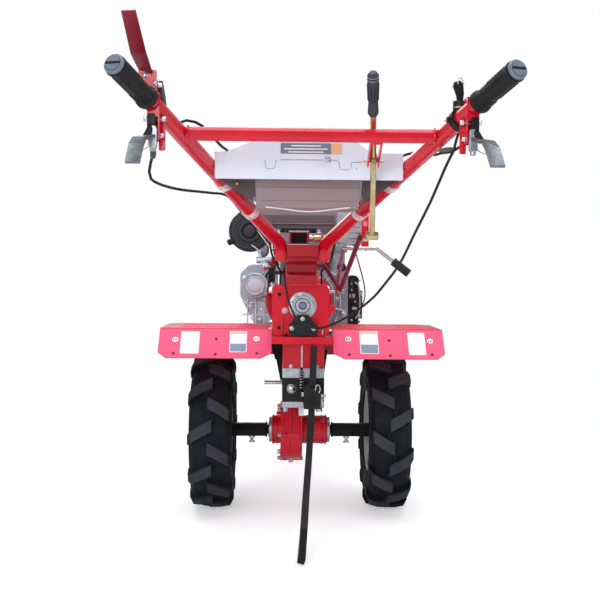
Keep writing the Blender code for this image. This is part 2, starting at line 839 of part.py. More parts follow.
def tyre(side_name, side):
    """Lugged field tyre: a turned carcass with bars that run from the crown down both shoulders."""
    crown = TYRE_RADIUS - LUG_DEPTH
    half = TYRE_WIDTH / 2
    seat = RIM_WIDTH / 2 - SEAT
    inner = RIM_RADIUS + SEAT
    bead = RIM_RADIUS + RIM_FLANGE + SEAT
    right = [(seat, inner), (seat, bead)]
    right += [(share * half, bead + rise * (crown - bead)) for share, rise in CARCASS_SHARES]
    left = [(-along, radius) for along, radius in reversed(right[:-1])]
    middle = Vector((WHEEL_MIDDLE * side, 0, AXLE_HEIGHT))
    carcass = turned("tyre_" + side_name, right + left, middle, X, TYRE_STEPS, closed=True)
    pitch = 2 * math.pi / LUGS_A_SIDE
    for half_side in (-1, 1):
        first = math.radians(FIRST_LUG_DEGREES - 90) + half_side * side * pitch / 4
        for index in range(LUGS_A_SIDE):
            rings = []
            for out_share, sweep_share, drop_share, foot_share in LUG_SHARES:
                along = half_side * out_share * half
                turn = first + index * pitch + side * sweep_share * LUG_SWEEP / TYRE_RADIUS
                top = TYRE_RADIUS - drop_share * LUG_DEPTH
                foot = bead + foot_share * (crown - bead)
                ring = []
                for radius, edge in ((foot, -1), (foot, 1), (top, 1), (top, -1)):
                    angle = turn + edge * LUG_WIDTH / 2 / TYRE_RADIUS
                    spoke = Vector((0, math.sin(angle), math.cos(angle)))
                    ring.append(middle + X * along + spoke * radius)
                rings.append(ring)
            join(carcass, loft("lug", rings))
    return node(carcass, "tyre_rubber", origin=middle)


def rim(side_name, side):
    """Pressed disc wheel: a well with two flanges, and a dished disc with a hub hole and hand holes."""
    middle = Vector((WHEEL_MIDDLE * side, 0, AXLE_HEIGHT))
    half = RIM_WIDTH / 2
    inner = RIM_RADIUS - RIM_WALL
    flange = RIM_RADIUS + RIM_FLANGE
    disc = DISC_PLACE - DISC_DISH
    profile = [
        (-half - RIM_WALL, flange),
        (-half, flange),
        (-half, RIM_RADIUS),
        (half, RIM_RADIUS),
        (half, flange),
        (half + RIM_WALL, flange),
        (half + RIM_WALL, inner),
        (disc + DISC_DISH + DISC_THICKNESS, inner),
        (disc + DISC_THICKNESS, HUB_RADIUS),
        (disc + DISC_THICKNESS, HUB_HOLE),
        (disc, HUB_HOLE),
        (disc, HUB_RADIUS),
        (disc + DISC_DISH, inner),
        (-half - RIM_WALL, inner),
    ]
    made = turned("rim_" + side_name, profile, middle, X * side, TYRE_STEPS, closed=True)
    reach = DISC_DISH + DISC_PLACE + OVERRUN
    for index in range(HAND_HOLES):
        turn = (index + 0.5) * 2 * math.pi / HAND_HOLES
        spot = middle + (Y * math.cos(turn) + Z * math.sin(turn)) * HAND_HOLE_PLACE
        cut(made, rod("hole", spot - X * reach, spot + X * reach, HAND_HOLE_RADIUS, 10))
    return node(made, "rim_silver", origin=middle)


def axle(side_name, side):
    """Hexagonal axle sleeve with a stub into the case, a hub plate for the disc and its lock bolt."""
    line = Vector((0, 0, AXLE_HEIGHT))
    out = X * side
    corner = AXLE_ACROSS_FLATS / math.sqrt(3)
    sleeve = rod("axle_" + side_name, line + out * AXLE_START, line + out * AXLE_END, corner, 6)
    stub_end = BOSS_HALF + RING_THICKNESS - STUB_DEPTH
    stub = rod("stub", line + out * stub_end, line + out * (AXLE_START + OVERRUN), STUB_RADIUS, 16)
    face = WHEEL_MIDDLE + DISC_PLACE - DISC_DISH - SEAT
    plate = rod("plate", line + out * (face - HUB_THICKNESS), line + out * face, HUB_PLATE_RADIUS, 24)
    bolt_top = line + out * LOCK_BOLT_PLACE
    reach = AXLE_ACROSS_FLATS / 2 + LOCK_BOLT_DROP
    bolt = rod("bolt", bolt_top, bolt_top - Z * reach, LOCK_BOLT_RADIUS, 8)
    head = rod("head", bolt_top - Z * reach, bolt_top - Z * (reach + LOCK_BOLT_RADIUS), LOCK_BOLT_HEAD, 6)
    join(sleeve, stub, plate, bolt, head)
    return node(sleeve, "black_paint", origin=line + out * WHEEL_MIDDLE)


def final_drive():
    """Lower gear case: a round-bottomed body with a neck, a bolted side cover and two axle bosses."""
    round_part = []
    for step in range(17):
        turn = math.pi * (1.0 + step / 16)
        round_part.append((CASE_RADIUS * math.cos(turn), AXLE_HEIGHT + CASE_RADIUS * math.sin(turn)))
    outline = round_part + [(CASE_NECK_HALF, CASE_NECK_TOP), (-CASE_NECK_HALF, CASE_NECK_TOP)]
    body = prism("final_drive_case", outline, "x", CASE_LEFT + CASE_COVER / 2, CASE_RIGHT)
    growth = 1 + CASE_COVER_LIP / CASE_RADIUS
    grown = [(y * growth, AXLE_HEIGHT + (z - AXLE_HEIGHT) * growth) for y, z in round_part]
    cover_top = CASE_NECK_TOP - CASE_COVER
    cover_half = CASE_NECK_HALF + CASE_COVER_LIP
    grown += [(cover_half, cover_top), (-cover_half, cover_top)]
    cover = prism("cover", grown, "x", CASE_LEFT, CASE_LEFT + CASE_COVER)
    line = Vector((0, 0, AXLE_HEIGHT))
    boss = rod("boss", line - X * BOSS_HALF, line + X * BOSS_HALF, BOSS_RADIUS, 32)
    join(body, cover, boss)
    bore = STUB_RADIUS + RUNNING_GAP
    for _, side in SIDES:
        out = X * side
        start = line + out * (BOSS_HALF + RING_THICKNESS - STUB_DEPTH - OVERRUN)
        cut(body, rod("hole", start, line + out * (BOSS_HALF + OVERRUN), bore, 16))
    node(body, "red_paint")
    for name, side in SIDES:
        out = X * side
        start = line + out * (BOSS_HALF + SEAT)
        end = start + out * RING_THICKNESS
        ring = rod("output_ring_" + name, start, end, RING_RADIUS, 32)
        cut(ring, rod("hole", start - out * OVERRUN, end + out * OVERRUN, bore, 16))
        node(ring, "bare_alloy")


def column():
    """Plates, hitch block and neck between the two gear cases."""
    low = CASE_NECK_TOP + SEAT
    high = low + LOW_PLATE_HEIGHT
    plate = box("flange_plate_low", (COLUMN_LEFT, COLUMN_REAR, low), (COLUMN_RIGHT, COLUMN_FRONT, high))
    node(plate, "bare_alloy", smooth_angle=0)
    low = high + SEAT
    high = low + HITCH_HEIGHT
    block = box("hitch_block", (COLUMN_LEFT, COLUMN_REAR, low), (COLUMN_RIGHT, COLUMN_FRONT, high))
    pin_line = Vector((COLUMN_LEFT, COLUMN_REAR + HITCH_PIN_PLACE, low + HITCH_PIN_HEIGHT))
    join(block, rod("pin", pin_line + X * OVERRUN, pin_line - X * HITCH_PIN_LENGTH, HITCH_PIN_RADIUS, 12))
    node(block, "black_paint")
    low = high + SEAT
    plate = box(
        "flange_plate_high",
        (COLUMN_LEFT, COLUMN_REAR - PLATE_OVERHANG, low),
        (COLUMN_RIGHT, COLUMN_FRONT, low + HIGH_PLATE_HEIGHT),
    )
    node(plate, "bare_alloy", smooth_angle=0)
    low += HIGH_PLATE_HEIGHT + SEAT
    neck = box("neck", (COLUMN_LEFT, NECK_LOW_REAR, low), (COLUMN_RIGHT, COLUMN_FRONT, MAIN_LOW - SEAT))
    shoulder_top = MAIN_LOW + MAIN_CORNER
    left = COVER_SPLIT + SEAT
    shoulder = box("shoulder", (left, NECK_LOW_REAR, low), (COLUMN_RIGHT, COLUMN_FRONT, shoulder_top))
    return join(neck, shoulder)


def main_gearbox(neck):
    """Main gear case with its neck, bell, split cover and the covers on its rear face."""
    outline = rounded(
        [(COVER_SPLIT, MAIN_LOW), (MAIN_RIGHT, MAIN_LOW), (MAIN_RIGHT, MAIN_HIGH), (COVER_SPLIT, MAIN_HIGH)],
        MAIN_CORNER,
    )
    body = prism("gearbox_main", outline, "y", MAIN_REAR, MAIN_FRONT)
    shaft = Vector((0, 0, SHAFT_HEIGHT))
    bell_end = MAIN_FRONT + BELL_LENGTH
    bell_profile = [
        (MAIN_FRONT - COVER_STEP, BELL_RADIUS * BELL_START_SHARE),
        (bell_end - BELL_RIM, BELL_RADIUS * BELL_END_SHARE),
        (bell_end - BELL_RIM, BELL_RADIUS),
        (bell_end, BELL_RADIUS),
    ]
    join(body, turned("bell", bell_profile, shaft, Y, 36), neck)
    node(body, "red_paint")
    right = COVER_SPLIT - SEAT
    corners = [(MAIN_LEFT, MAIN_LOW), (right, MAIN_LOW), (right, MAIN_HIGH), (MAIN_LEFT, MAIN_HIGH)]
    outline = rounded(corners, COVER_CORNER)
    cover = prism("gearbox_cover", outline, "y", MAIN_REAR + COVER_STEP, MAIN_FRONT - COVER_STEP - SEAT)
    node(cover, "red_paint")

    rear = Vector((BEARING_X, MAIN_REAR - SEAT, SHAFT_HEIGHT))
    profile = [(depth * BEARING_THICKNESS, radius * BEARING_RADIUS) for depth, radius in BEARING_SHARES]
    bearing = turned("bearing_cover", profile, rear, -Y, 24)
    low = MAIN_LOW + TAKEOFF_RISE
    half_outline = [(out * TAKEOFF_HALF, low + rise * TAKEOFF_HEIGHT) for out, rise in TAKEOFF_SHARES]
    outline = half_outline + [(-out, rise) for out, rise in reversed(half_outline)]
    room_outline = [(BEARING_X + a, b + 2 * SEAT) for a, b in rounded(outline, TAKEOFF_CORNER)]
    cut(bearing, prism("room", room_outline, "y", MAIN_REAR - BEARING_THICKNESS - OVERRUN, MAIN_REAR))
    node(bearing, "bare_alloy")
    outline = [(BEARING_X + a, b) for a, b in rounded(outline, TAKEOFF_CORNER)]
    takeoff = prism("takeoff_cover", outline, "y", MAIN_REAR - SEAT - TAKEOFF_THICKNESS, MAIN_REAR - SEAT)
    node(takeoff, "black_paint")


def gusset():
    """Dark tapered web in front of the neck."""
    top = MAIN_LOW - SEAT
    middle = (MAIN_LEFT + MAIN_RIGHT) / 2
    outline = [
        (middle - GUSSET_LOW_HALF, top - GUSSET_DROP),
        (middle + GUSSET_LOW_HALF, top - GUSSET_DROP),
        (middle + GUSSET_TOP_HALF, top),
        (middle - GUSSET_TOP_HALF, top),
    ]
    front = COLUMN_FRONT + SEAT
    node(prism("gusset", outline, "y", front, front + GUSSET_THICKNESS), "black_paint", smooth_angle=0)


def stake():
    """Curved drag stake in its clamp."""
    route = [Vector((CLAMP_X, CLAMP_Y, 0)) + Vector(shares) * STAKE_HEIGHT for shares in STAKE_SHARES]
    bar = sweep("drag_stake", route, flat_section(STAKE_WIDTH, STAKE_THICKNESS), Y)
    node(bar, "black_paint")
    half = CLAMP_WIDTH / 2
    clamp = box(
        "stake_clamp",
        (CLAMP_X - half, CLAMP_Y - CLAMP_LENGTH / 2, CLAMP_LOW),
        (CLAMP_X + half, COLUMN_REAR - SEAT, CLAMP_LOW + CLAMP_HEIGHT),
    )
    cut(clamp, sweep("room", route, flat_section(STAKE_WIDTH + 2 * SEAT, STAKE_THICKNESS + 2 * SEAT), Y))
    node(clamp, "black_paint", smooth_angle=0)


def fender(side_name, side):
    """Folded fender: a top plate, a rear panel that slopes down, and a side lip; its corners are cut off."""
    inner = FENDER_INNER if side > 0 else FENDER_INNER - FENDER_INNER_STEP
    front = FENDER_FOLD + FENDER_LENGTH
    top = [
        (inner, FENDER_FOLD),
        (FENDER_OUTER, FENDER_FOLD),
        (FENDER_OUTER, front - FENDER_CHAMFER),
        (FENDER_OUTER - FENDER_CHAMFER, front),
        (inner + FENDER_CHAMFER, front),
        (inner, front - FENDER_CHAMFER),
    ]
    top = [(a * side, b) for a, b in top]
    plate = prism("fender_" + side_name, top, "z", FENDER_TOP - FENDER_SHEET, FENDER_TOP)
    down = Vector((0, -PANEL_BACK, -PANEL_DROP))
    slope = down.length
    down.normalize()
    inward = Vector((0, -down.z, down.y))
    fold = Vector((0, FENDER_FOLD, FENDER_TOP))
    outline = [
        (inner, 0),
        (FENDER_OUTER, 0),
        (FENDER_OUTER, slope - PANEL_CORNER_ALONG),
        (FENDER_OUTER - PANEL_CORNER_OUT, slope),
        (inner + PANEL_CORNER_IN, slope),
        (inner, slope - PANEL_CORNER_ALONG),
    ]
    rings = [
        [fold + X * a * side + down * b + inward * level for a, b in outline] for level in (0, FENDER_SHEET)
    ]
    lip = [
        (FENDER_FOLD, FENDER_TOP),
        (FENDER_FOLD - FENDER_LIP * PANEL_BACK / PANEL_DROP, FENDER_TOP - FENDER_LIP),
        (front - FENDER_CHAMFER, FENDER_TOP - FENDER_LIP_FRONT),
        (front - FENDER_CHAMFER, FENDER_TOP),
    ]
    edge = sorted((side * (FENDER_OUTER - FENDER_SHEET), side * FENDER_OUTER))
    join(plate, loft("panel", rings), prism("lip", lip, "x", edge[0], edge[1]))
    return node(plate, "red_paint", smooth_angle=0)


def fender_bar():
    """Bar across the neck; its arms reach under both fenders and lie along their sloping panels."""
    low = MAIN_LOW - BAR_DROP
    high = MAIN_LOW - SEAT
    middle = FENDER_INNER - FENDER_INNER_STEP - SEAT
    bar = box("fender_bar", (-middle, BAR_REAR, low), (FENDER_INNER - SEAT, BAR_FRONT, high))
    slant = PANEL_BACK / PANEL_DROP
    room = (FENDER_SHEET + SEAT) * math.hypot(1, slant)
    arms = [(BAR_FRONT, low)]
    arms += [(FENDER_FOLD + room - (FENDER_TOP - level) * slant, level) for level in (low, high)]
    arms += [(BAR_FRONT, high)]
    join(bar, prism("arms", arms, "x", -BAR_HALF, BAR_HALF))
    join(bar, box("root", (COLUMN_LEFT, BAR_REAR, low), (COLUMN_RIGHT, NECK_LOW_REAR - SEAT, high)))
    node(bar, "red_paint", smooth_angle=0)


def crankcase():
    """Crankcase with its timing case on the left, the starter on that, and the oil filler on top."""
    rear = CRANKCASE_REAR + SEAT
    base = BED_LOW + BED_HEIGHT + SEAT
    corners = [
        (CRANKCASE_LEFT, base),
        (CRANKCASE_RIGHT, base),
        (CRANKCASE_RIGHT, CRANKCASE_TOP),
        (CRANKCASE_LEFT, CRANKCASE_TOP),
    ]
    case = prism("crankcase", rounded(corners, CRANKCASE_CORNER), "y", rear, rear + CRANKCASE_LENGTH)
    middle_z = SHAFT_HEIGHT + STARTER_RISE
    lobe = [(STARTER_X + a * LOBE_SPAN, middle_z + b * LOBE_SPAN) for a, b in LOBE_SHARES]
    join(case, prism("lobe", rounded(lobe, LOBE_CORNER), "y", rear - SEAT + COVER_STEP, rear + LOBE_LENGTH))
    start = Vector((STARTER_X, rear - STARTER_LENGTH, middle_z))
    profile = [
        (0, STARTER_FACE),
        (STARTER_EDGE, STARTER_FACE),
        (STARTER_EDGE, STARTER_RADIUS),
        (STARTER_LENGTH + STARTER_EDGE, STARTER_RADIUS),
    ]
    join(case, turned("starter", profile, start, Y, 28))
    foot = Vector((FILLER_X, rear + FILLER_PLACE, CRANKCASE_TOP - OVERRUN))
    join(case, rod("filler", foot, foot + Z * FILLER_HEIGHT, FILLER_RADIUS, 20))
    node(case, "bare_alloy")
    left = CRANKCASE_RIGHT + SEAT
    low = SHAFT_HEIGHT - SIDE_PLATE_HEIGHT / 2
    corners = [
        (left, low),
        (left + SIDE_PLATE_THICKNESS, low),
        (left + SIDE_PLATE_THICKNESS, low + SIDE_PLATE_HEIGHT),
        (left, low + SIDE_PLATE_HEIGHT),
    ]
    start = rear + SIDE_PLATE_PLACE
    outline = rounded(corners, SIDE_PLATE_CORNER)
    node(prism("side_cover", outline, "y", start, start + SIDE_PLATE_LENGTH), "black_plastic")


def cylinder():
    """Finned barrel with its head, one casting."""
    low = CRANKCASE_TOP + SEAT
    core = box(
        "cylinder",
        (-BARREL_CORE_HALF_X, BARREL_Y - BARREL_CORE_HALF_Y, low),
        (BARREL_CORE_HALF_X, BARREL_Y + BARREL_CORE_HALF_Y, HEAD_LOW + OVERRUN),
    )
    for index in range(FIN_COUNT):
        level = low + FIN_PITCH * (index + 0.5)
        fin = box(
            "fin",
            (-BARREL_HALF_X, BARREL_Y - BARREL_HALF_Y, level - FIN_THICKNESS / 2),
            (BARREL_HALF_X, BARREL_Y + BARREL_HALF_Y, level + FIN_THICKNESS / 2),
        )
        join(core, fin)
    head = box(
        "head",
        (-BARREL_HALF_X, BARREL_Y - BARREL_HALF_Y, HEAD_LOW),
        (BARREL_HALF_X, BARREL_Y + BARREL_HALF_Y, HEAD_LOW + HEAD_HEIGHT),
    )
    join(core, head)
    node(core, "bare_alloy", smooth_angle=0)


def fan():
    """Fan shroud at the front of the crankcase, with the recoil starter on it."""
    base = BED_LOW + BED_HEIGHT + SEAT
    front = CRANKCASE_REAR + CRANKCASE_LENGTH + 2 * SEAT
    shaft = Vector((0, 0, SHAFT_HEIGHT))
    profile = [
        (front, SHROUD_RADIUS),
        (front + SHROUD_THICKNESS - SHROUD_EDGE, SHROUD_RADIUS),
        (front + SHROUD_THICKNESS, SHROUD_RADIUS - SHROUD_EDGE),
    ]
    shroud = turned("fan_shroud", profile, shaft, Y, 36)
    end = front + SHROUD_THICKNESS + OVERRUN
    flat = box("flat", (-SHROUD_RADIUS, front - OVERRUN, 0), (SHROUD_RADIUS, end, base))
    node(cut(shroud, flat), "red_paint")
    front += SHROUD_THICKNESS + SEAT
    profile = [
        (front, RECOIL_RADIUS),
        (front + RECOIL_THICKNESS - RECOIL_EDGE, RECOIL_RADIUS),
        (front + RECOIL_THICKNESS, RECOIL_RADIUS - RECOIL_SLOPE),
    ]
    node(turned("recoil_starter", profile, shaft, Y, 32), "black_plastic")


def tank():
    """Fuel tank with its cap, on a folded saddle that stands on the crankcase."""
    rings = []
    for level_share, inset_share in TANK_SHARES:
        level = TANK_LOW + level_share * TANK_HEIGHT
        inset = inset_share * TANK_ROUNDING
        half = TANK_HALF - inset
        rear = TANK_REAR + inset
        front = TANK_REAR + TANK_LENGTH - inset
        outline = rounded([(-half, rear), (half, rear), (half, front), (-half, front)], TANK_CORNER - inset)
        rings.append([Vector((a, b, level)) for a, b in outline])
    body = loft("fuel_tank", rings)
    top = Vector((CAP_X, TANK_REAR + TANK_LENGTH / 2, TANK_LOW + TANK_HEIGHT))
    join(body, rod("cap", top - Z * OVERRUN, top + Z * CAP_HEIGHT, CAP_RADIUS, 20))
    node(body, "grey_paint")
    # Side outline of the saddle: a foot on the crankcase, a web, and a seat under the tank
    low = CRANKCASE_TOP + SEAT
    high = TANK_LOW - SEAT
    rear = TANK_REAR + SADDLE_STEP
    sheet = SADDLE_SHEET
    outline = [
        (rear, low),
        (rear + SADDLE_FOOT, low),
        (rear + SADDLE_FOOT, low + sheet),
        (rear + sheet, low + sheet),
        (rear + sheet, high - sheet),
        (rear + SADDLE_REACH, high - sheet),
        (rear + SADDLE_REACH, high),
        (rear, high),
    ]
    node(prism("tank_saddle", outline, "x", -SADDLE_HALF, SADDLE_HALF), "red_paint", smooth_angle=0)


def breathing():
    """Air cleaner and its intake on the left of the head, muffler, its pipe and its guard on the right."""
    middle = Vector((CLEANER_X, CLEANER_REAR, CLEANER_HEIGHT))
    profile = [(depth * CLEANER_LENGTH, radius * CLEANER_RADIUS) for depth, radius in CLEANER_SHARES]
    cleaner = turned("air_cleaner", profile, middle, Y, 20)
    level = HEAD_LOW + INTAKE_RISE
    mouth = Vector((-BARREL_HALF_X - SEAT, CRANKCASE_REAR + INTAKE_PLACE, level))
    join(cleaner, rod("intake", Vector((CLEANER_X, mouth.y, level)), mouth, INTAKE_RADIUS, 16))
    node(cleaner, "black_plastic")

    high = MUFFLER_LOW + MUFFLER_HEIGHT
    corners = [
        (MUFFLER_LEFT, MUFFLER_LOW),
        (MUFFLER_RIGHT, MUFFLER_LOW),
        (MUFFLER_RIGHT, high),
        (MUFFLER_LEFT, high),
    ]
    outline = rounded(corners, MUFFLER_CORNER, 4)
    muffler = prism("muffler", outline, "y", MUFFLER_REAR, MUFFLER_REAR + MUFFLER_LENGTH)
    port = Vector((BARREL_HALF_X + SEAT, BARREL_Y, level))
    pipe_end = Vector((MUFFLER_LEFT + MUFFLER_CORNER, BARREL_Y, level))
    join(muffler, rod("pipe", port, pipe_end, INTAKE_RADIUS, 16))
    node(muffler, "muffler_steel")
    left = MUFFLER_RIGHT + SEAT
    rear = MUFFLER_REAR - SEAT - GUARD_SHEET
    right = left + GUARD_SHEET
    outline = [
        (right - GUARD_WIDTH, rear),
        (right, rear),
        (right, rear + GUARD_LENGTH),
        (left, rear + GUARD_LENGTH),
        (left, rear + GUARD_SHEET),
        (right - GUARD_WIDTH, rear + GUARD_SHEET),
    ]
    node(prism("muffler_guard", outline, "z", MUFFLER_LOW - GUARD_DROP, high), "red_paint", smooth_angle=0)


def bed():
    """Two rails under the engine, the cross beam and the two cheeks with the stand's pin: one weldment."""
    rails = []
    for _, side in SIDES:
        edge = sorted((side * (RAIL_MIDDLE - RAIL_WIDTH / 2), side * (RAIL_MIDDLE + RAIL_WIDTH / 2)))
        high = BED_LOW + BED_HEIGHT
        rails.append(box("engine_bed", (edge[0], RAIL_REAR, BED_LOW), (edge[1], RAIL_FRONT, high)))
    frame, other = rails
    beam = box(
        "beam",
        (-RAIL_MIDDLE, STAND_PIVOT_Y - STAND_BEAM_LENGTH, BED_LOW),
        (RAIL_MIDDLE, STAND_PIVOT_Y + STAND_BEAM_LENGTH - OVERRUN, BED_LOW + BED_HEIGHT),
    )
    join(frame, beam, other)
    reach = STAND_WIDTH / 2 + STAND_CHEEK_GAP
    for _, side in SIDES:
        edge = sorted((side * reach, side * (reach + STAND_CHEEK)))
        cheek = box(
            "cheek",
            (edge[0], STAND_PIVOT_Y - STAND_CHEEK_LENGTH, STAND_PIVOT_HEIGHT - STAND_CHEEK_DROP),
            (edge[1], STAND_PIVOT_Y + STAND_CHEEK_LENGTH, BED_LOW + BED_HEIGHT / 2),
        )
        join(frame, cheek)
    pivot = Vector((0, STAND_PIVOT_Y, STAND_PIVOT_HEIGHT))
    pin_half = reach + STAND_CHEEK * 2
    join(frame, rod("pin", pivot - X * pin_half, pivot + X * pin_half, STAND_PIN_RADIUS, 16))
    node(frame, "red_paint")


def bumper():
    """Bent tube bumper that starts on both rails."""
    start = RAIL_FRONT + SEAT
    level = BED_LOW + BED_HEIGHT / 2
    top = BED_LOW + BUMPER_RISE
    half = RAIL_MIDDLE
    path = [
        Vector((-half, start, level)),
        Vector((-half, start + BUMPER_STRAIGHT, level)),
        Vector((-BUMPER_HALF, BUMPER_FRONT, top)),
        Vector((BUMPER_HALF, BUMPER_FRONT, top)),
        Vector((half, start + BUMPER_STRAIGHT, level)),
        Vector((half, start, level)),
    ]
    tube = sweep("bumper", bend_path(path, BUMPER_BEND, 3), round_section(BUMPER_RADIUS, 12), Z)
    node(tube, "red_paint")


def stand():
    """Front stand: a flat leg on the bed's cross pin, its foot a little ahead of the pin."""
    pivot = Vector((0, STAND_PIVOT_Y, STAND_PIVOT_HEIGHT))
    foot = Vector((0, STAND_PIVOT_Y + STAND_LEAN, STAND_FOOT_THICKNESS / 2))
    leg = sweep("stand_leg", [pivot, foot], flat_section(STAND_WIDTH, STAND_THICKNESS), Y)
    half = STAND_WIDTH / 2
    eye = rod("eye", pivot - X * half, pivot + X * half, STAND_EYE_RADIUS, 20)
    sole = box(
        "sole",
        (-STAND_FOOT_WIDTH / 2, foot.y - STAND_FOOT_LENGTH / 2, 0),
        (STAND_FOOT_WIDTH / 2, foot.y + STAND_FOOT_LENGTH / 2, STAND_FOOT_THICKNESS),
    )
    join(leg, eye, sole)
    reach = half + STAND_CHEEK_GAP + OVERRUN
    cut(leg, rod("hole", pivot - X * reach, pivot + X * reach, STAND_PIN_RADIUS + RUNNING_GAP, 16))
    node(leg, "black_paint", origin=pivot)


def tube_path(side):
    """Middle line of a handle tube from its foot beside the post to the end of its grip."""
    foot = Vector((TUBE_FOOT_X, POST_REAR + FOOT_SET, POST_TOP - FOOT_DROP))
    bend = at_handle(BEND_SHARES)
    end = at_handle(END_SHARES)
    middle = (KNEE + bend) / 2
    lower = bend_path([foot, KNEE, middle], TUBE_KNEE_RADIUS, 3)
    upper = bend_path([middle, bend, end], TUBE_BEND_RADIUS, 3)
    return [mirrored(point, side) for point in lower + upper[1:]]


def tube_room(side):
    """The space that a handle tube takes, with its seat."""
    return sweep("room", tube_path(side), round_section(TUBE_RADIUS + SEAT, 16), Z)


def on_tube(side, distance):
    """The tube's middle line at a distance from its end, and the direction away from the operator."""
    end = at_handle(END_SHARES, side)
    along = (at_handle(BEND_SHARES, side) - end).normalized()
    return end + along * distance, along


def cross_end():
    """The cross bar's right end, on the middle line of the handle tube."""
    return KNEE.lerp(at_handle(BEND_SHARES), CROSS_SHARE)


def steering_frame():
    """Handle post, head plate with its lock, and the two bent tubes welded to their cross bar."""
    foot = MAIN_HIGH + SEAT
    hollow = foot + POST_FOOT
    waist = POST_REAR + POST_HOLLOW_DEPTH
    slope = POST_HOLLOW_SLOPE
    outline = [
        (POST_FRONT, foot),
        (POST_REAR, foot),
        (POST_REAR, hollow),
        (waist, hollow + slope),
        (waist, hollow + slope + POST_HOLLOW_HEIGHT),
        (POST_REAR, hollow + 2 * slope + POST_HOLLOW_HEIGHT),
        (POST_REAR, POST_TOP),
        (POST_FRONT, POST_TOP),
    ]
    node(prism("handle_post", outline, "x", -POST_HALF, POST_HALF), "red_paint", smooth_angle=0)
    low = POST_TOP + SEAT
    high = low + HEAD_PLATE_THICKNESS
    front = KNEE.y - TUBE_RADIUS - 4 * SEAT
    plate = box(
        "head_plate",
        (-POST_HALF, front - HEAD_PLATE_THICKNESS, high - HEAD_PLATE_HEIGHT),
        (POST_HALF, front, high),
    )
    rear = front - HEAD_PLATE_THICKNESS / 2
    join(plate, box("top", (-POST_HALF, rear, low), (POST_HALF, POST_FRONT, high)))
    lock_front = POST_REAR + LOCK_FRAME_DEPTH
    lock_top = high + LOCK_FRAME_HEIGHT
    lock = box("lock", (LOCK_FRAME_LEFT, POST_REAR, low + OVERRUN), (LOCK_FRAME_RIGHT, lock_front, lock_top))
    sheet = LOCK_FRAME_SHEET
    cut(
        lock,
        box(
            "window",
            (LOCK_FRAME_LEFT + sheet, POST_REAR - OVERRUN, high + sheet),
            (LOCK_FRAME_RIGHT - sheet, lock_front + OVERRUN, lock_top - sheet),
        ),
    )
    node(join(plate, lock), "red_paint", smooth_angle=0)
    middle = Vector((LOCK_FRAME_RIGHT + SEAT, POST_REAR + LOCK_FRAME_DEPTH / 2, high + LOCK_FRAME_HEIGHT / 2))
    profile = [(length * LOCK_KNOB_LENGTH, radius * LOCK_KNOB_RADIUS) for length, radius in LOCK_KNOB_SHARES]
    node(turned("lock_knob", profile, middle, X, 14), "yellow_zinc")

    cross = cross_end()
    tubes = [sweep("handle_frame", tube_path(side), round_section(TUBE_RADIUS, 16), Z) for _, side in SIDES]
    welded, other = tubes
    join(welded, rod("bar", mirrored(cross, -1), cross, CROSS_RADIUS, 16), other)
    node(welded, "red_paint")
    for name, side in SIDES:
        end, along = on_tube(side, 0)
        profile = [(-GRIP_END, GRIP_CAP_SHARE * GRIP_RADIUS)]
        profile += [(length * GRIP_LENGTH, radius * GRIP_RADIUS) for length, radius in GRIP_SHARES]
        grip = turned("grip_" + name, profile, end, along, 20)
        path = tube_path(side)
        path[-1] = end - along * SEAT
        cut(grip, sweep("room", path, round_section(TUBE_RADIUS + SEAT, 16), Z))
        node(grip, "grip_rubber")


def wing_level(back):
    """Height at which a sheet lies on both handle tubes, at a distance behind the axle."""
    bend = at_handle(BEND_SHARES)
    slope = (bend.z - KNEE.z) / (bend.y - KNEE.y)
    return KNEE.z + (-back - KNEE.y) * slope + TUBE_RADIUS * math.hypot(1, slope) + SEAT


def console():
    """Pale folded cover on the handle tubes: two wings, a raised hump, a rear lip, and the bin below."""
    rings = []
    for back, narrow in ((CONSOLE_REAR, 1), (CONSOLE_FRONT, CONSOLE_NARROWING_SHARE)):
        low = wing_level(back)
        lower = [(out * HANDLE_REACH * narrow, low + up * HUMP_HEIGHT) for out, up in CONSOLE_SHARES]
        upper = [(a, b + CONSOLE_SHEET) for a, b in reversed(lower)]
        rings.append([Vector((a, -back, b)) for a, b in lower + upper])
    cover = loft("console", rings)
    sheet = CONSOLE_SHEET
    low = wing_level(CONSOLE_REAR)
    hump = [(out * HANDLE_REACH, low + up * HUMP_HEIGHT + sheet / 2) for out, up in CONSOLE_SHARES[1:-1]]
    lip_low = low - CONSOLE_LIP
    half = CONSOLE_LIP_HALF
    seam = low + sheet / 2
    outline = [(-half, seam), (-half, lip_low), (half, lip_low), (half, seam)] + hump[::-1]
    join(cover, prism("lip", outline, "y", -CONSOLE_REAR, -CONSOLE_REAR + sheet))
    low = wing_level(CONSOLE_FRONT)
    narrow = CONSOLE_NARROWING_SHARE * HANDLE_REACH
    hump = [(out * narrow, low + up * HUMP_HEIGHT + sheet / 2) for out, up in CONSOLE_SHARES[1:-1]]
    join(cover, prism("front", hump[::-1], "y", -CONSOLE_FRONT - sheet, -CONSOLE_FRONT))
    node(cover, "pale_sheet", smooth_angle=0)

    bottom = POST_TOP + BIN_LOW_RISE
    rear_top = wing_level(BIN_REAR) - 2 * SEAT
    front_top = wing_level(BIN_FRONT) - 2 * SEAT
    rings = []
    levels = ((BIN_HALF_LOW, bottom, bottom), (BIN_HALF_TOP, rear_top, front_top))
    for half, rear_level, front_level in levels:
        corners = [(-half, BIN_REAR, rear_level), (half, BIN_REAR, rear_level)]
        corners += [(half, BIN_FRONT, front_level), (-half, BIN_FRONT, front_level)]
        rings.append([Vector((BIN_X + a, -back, level)) for a, back, level in corners])
    node(loft("console_bin", rings), "bin_sheet", smooth_angle=0)


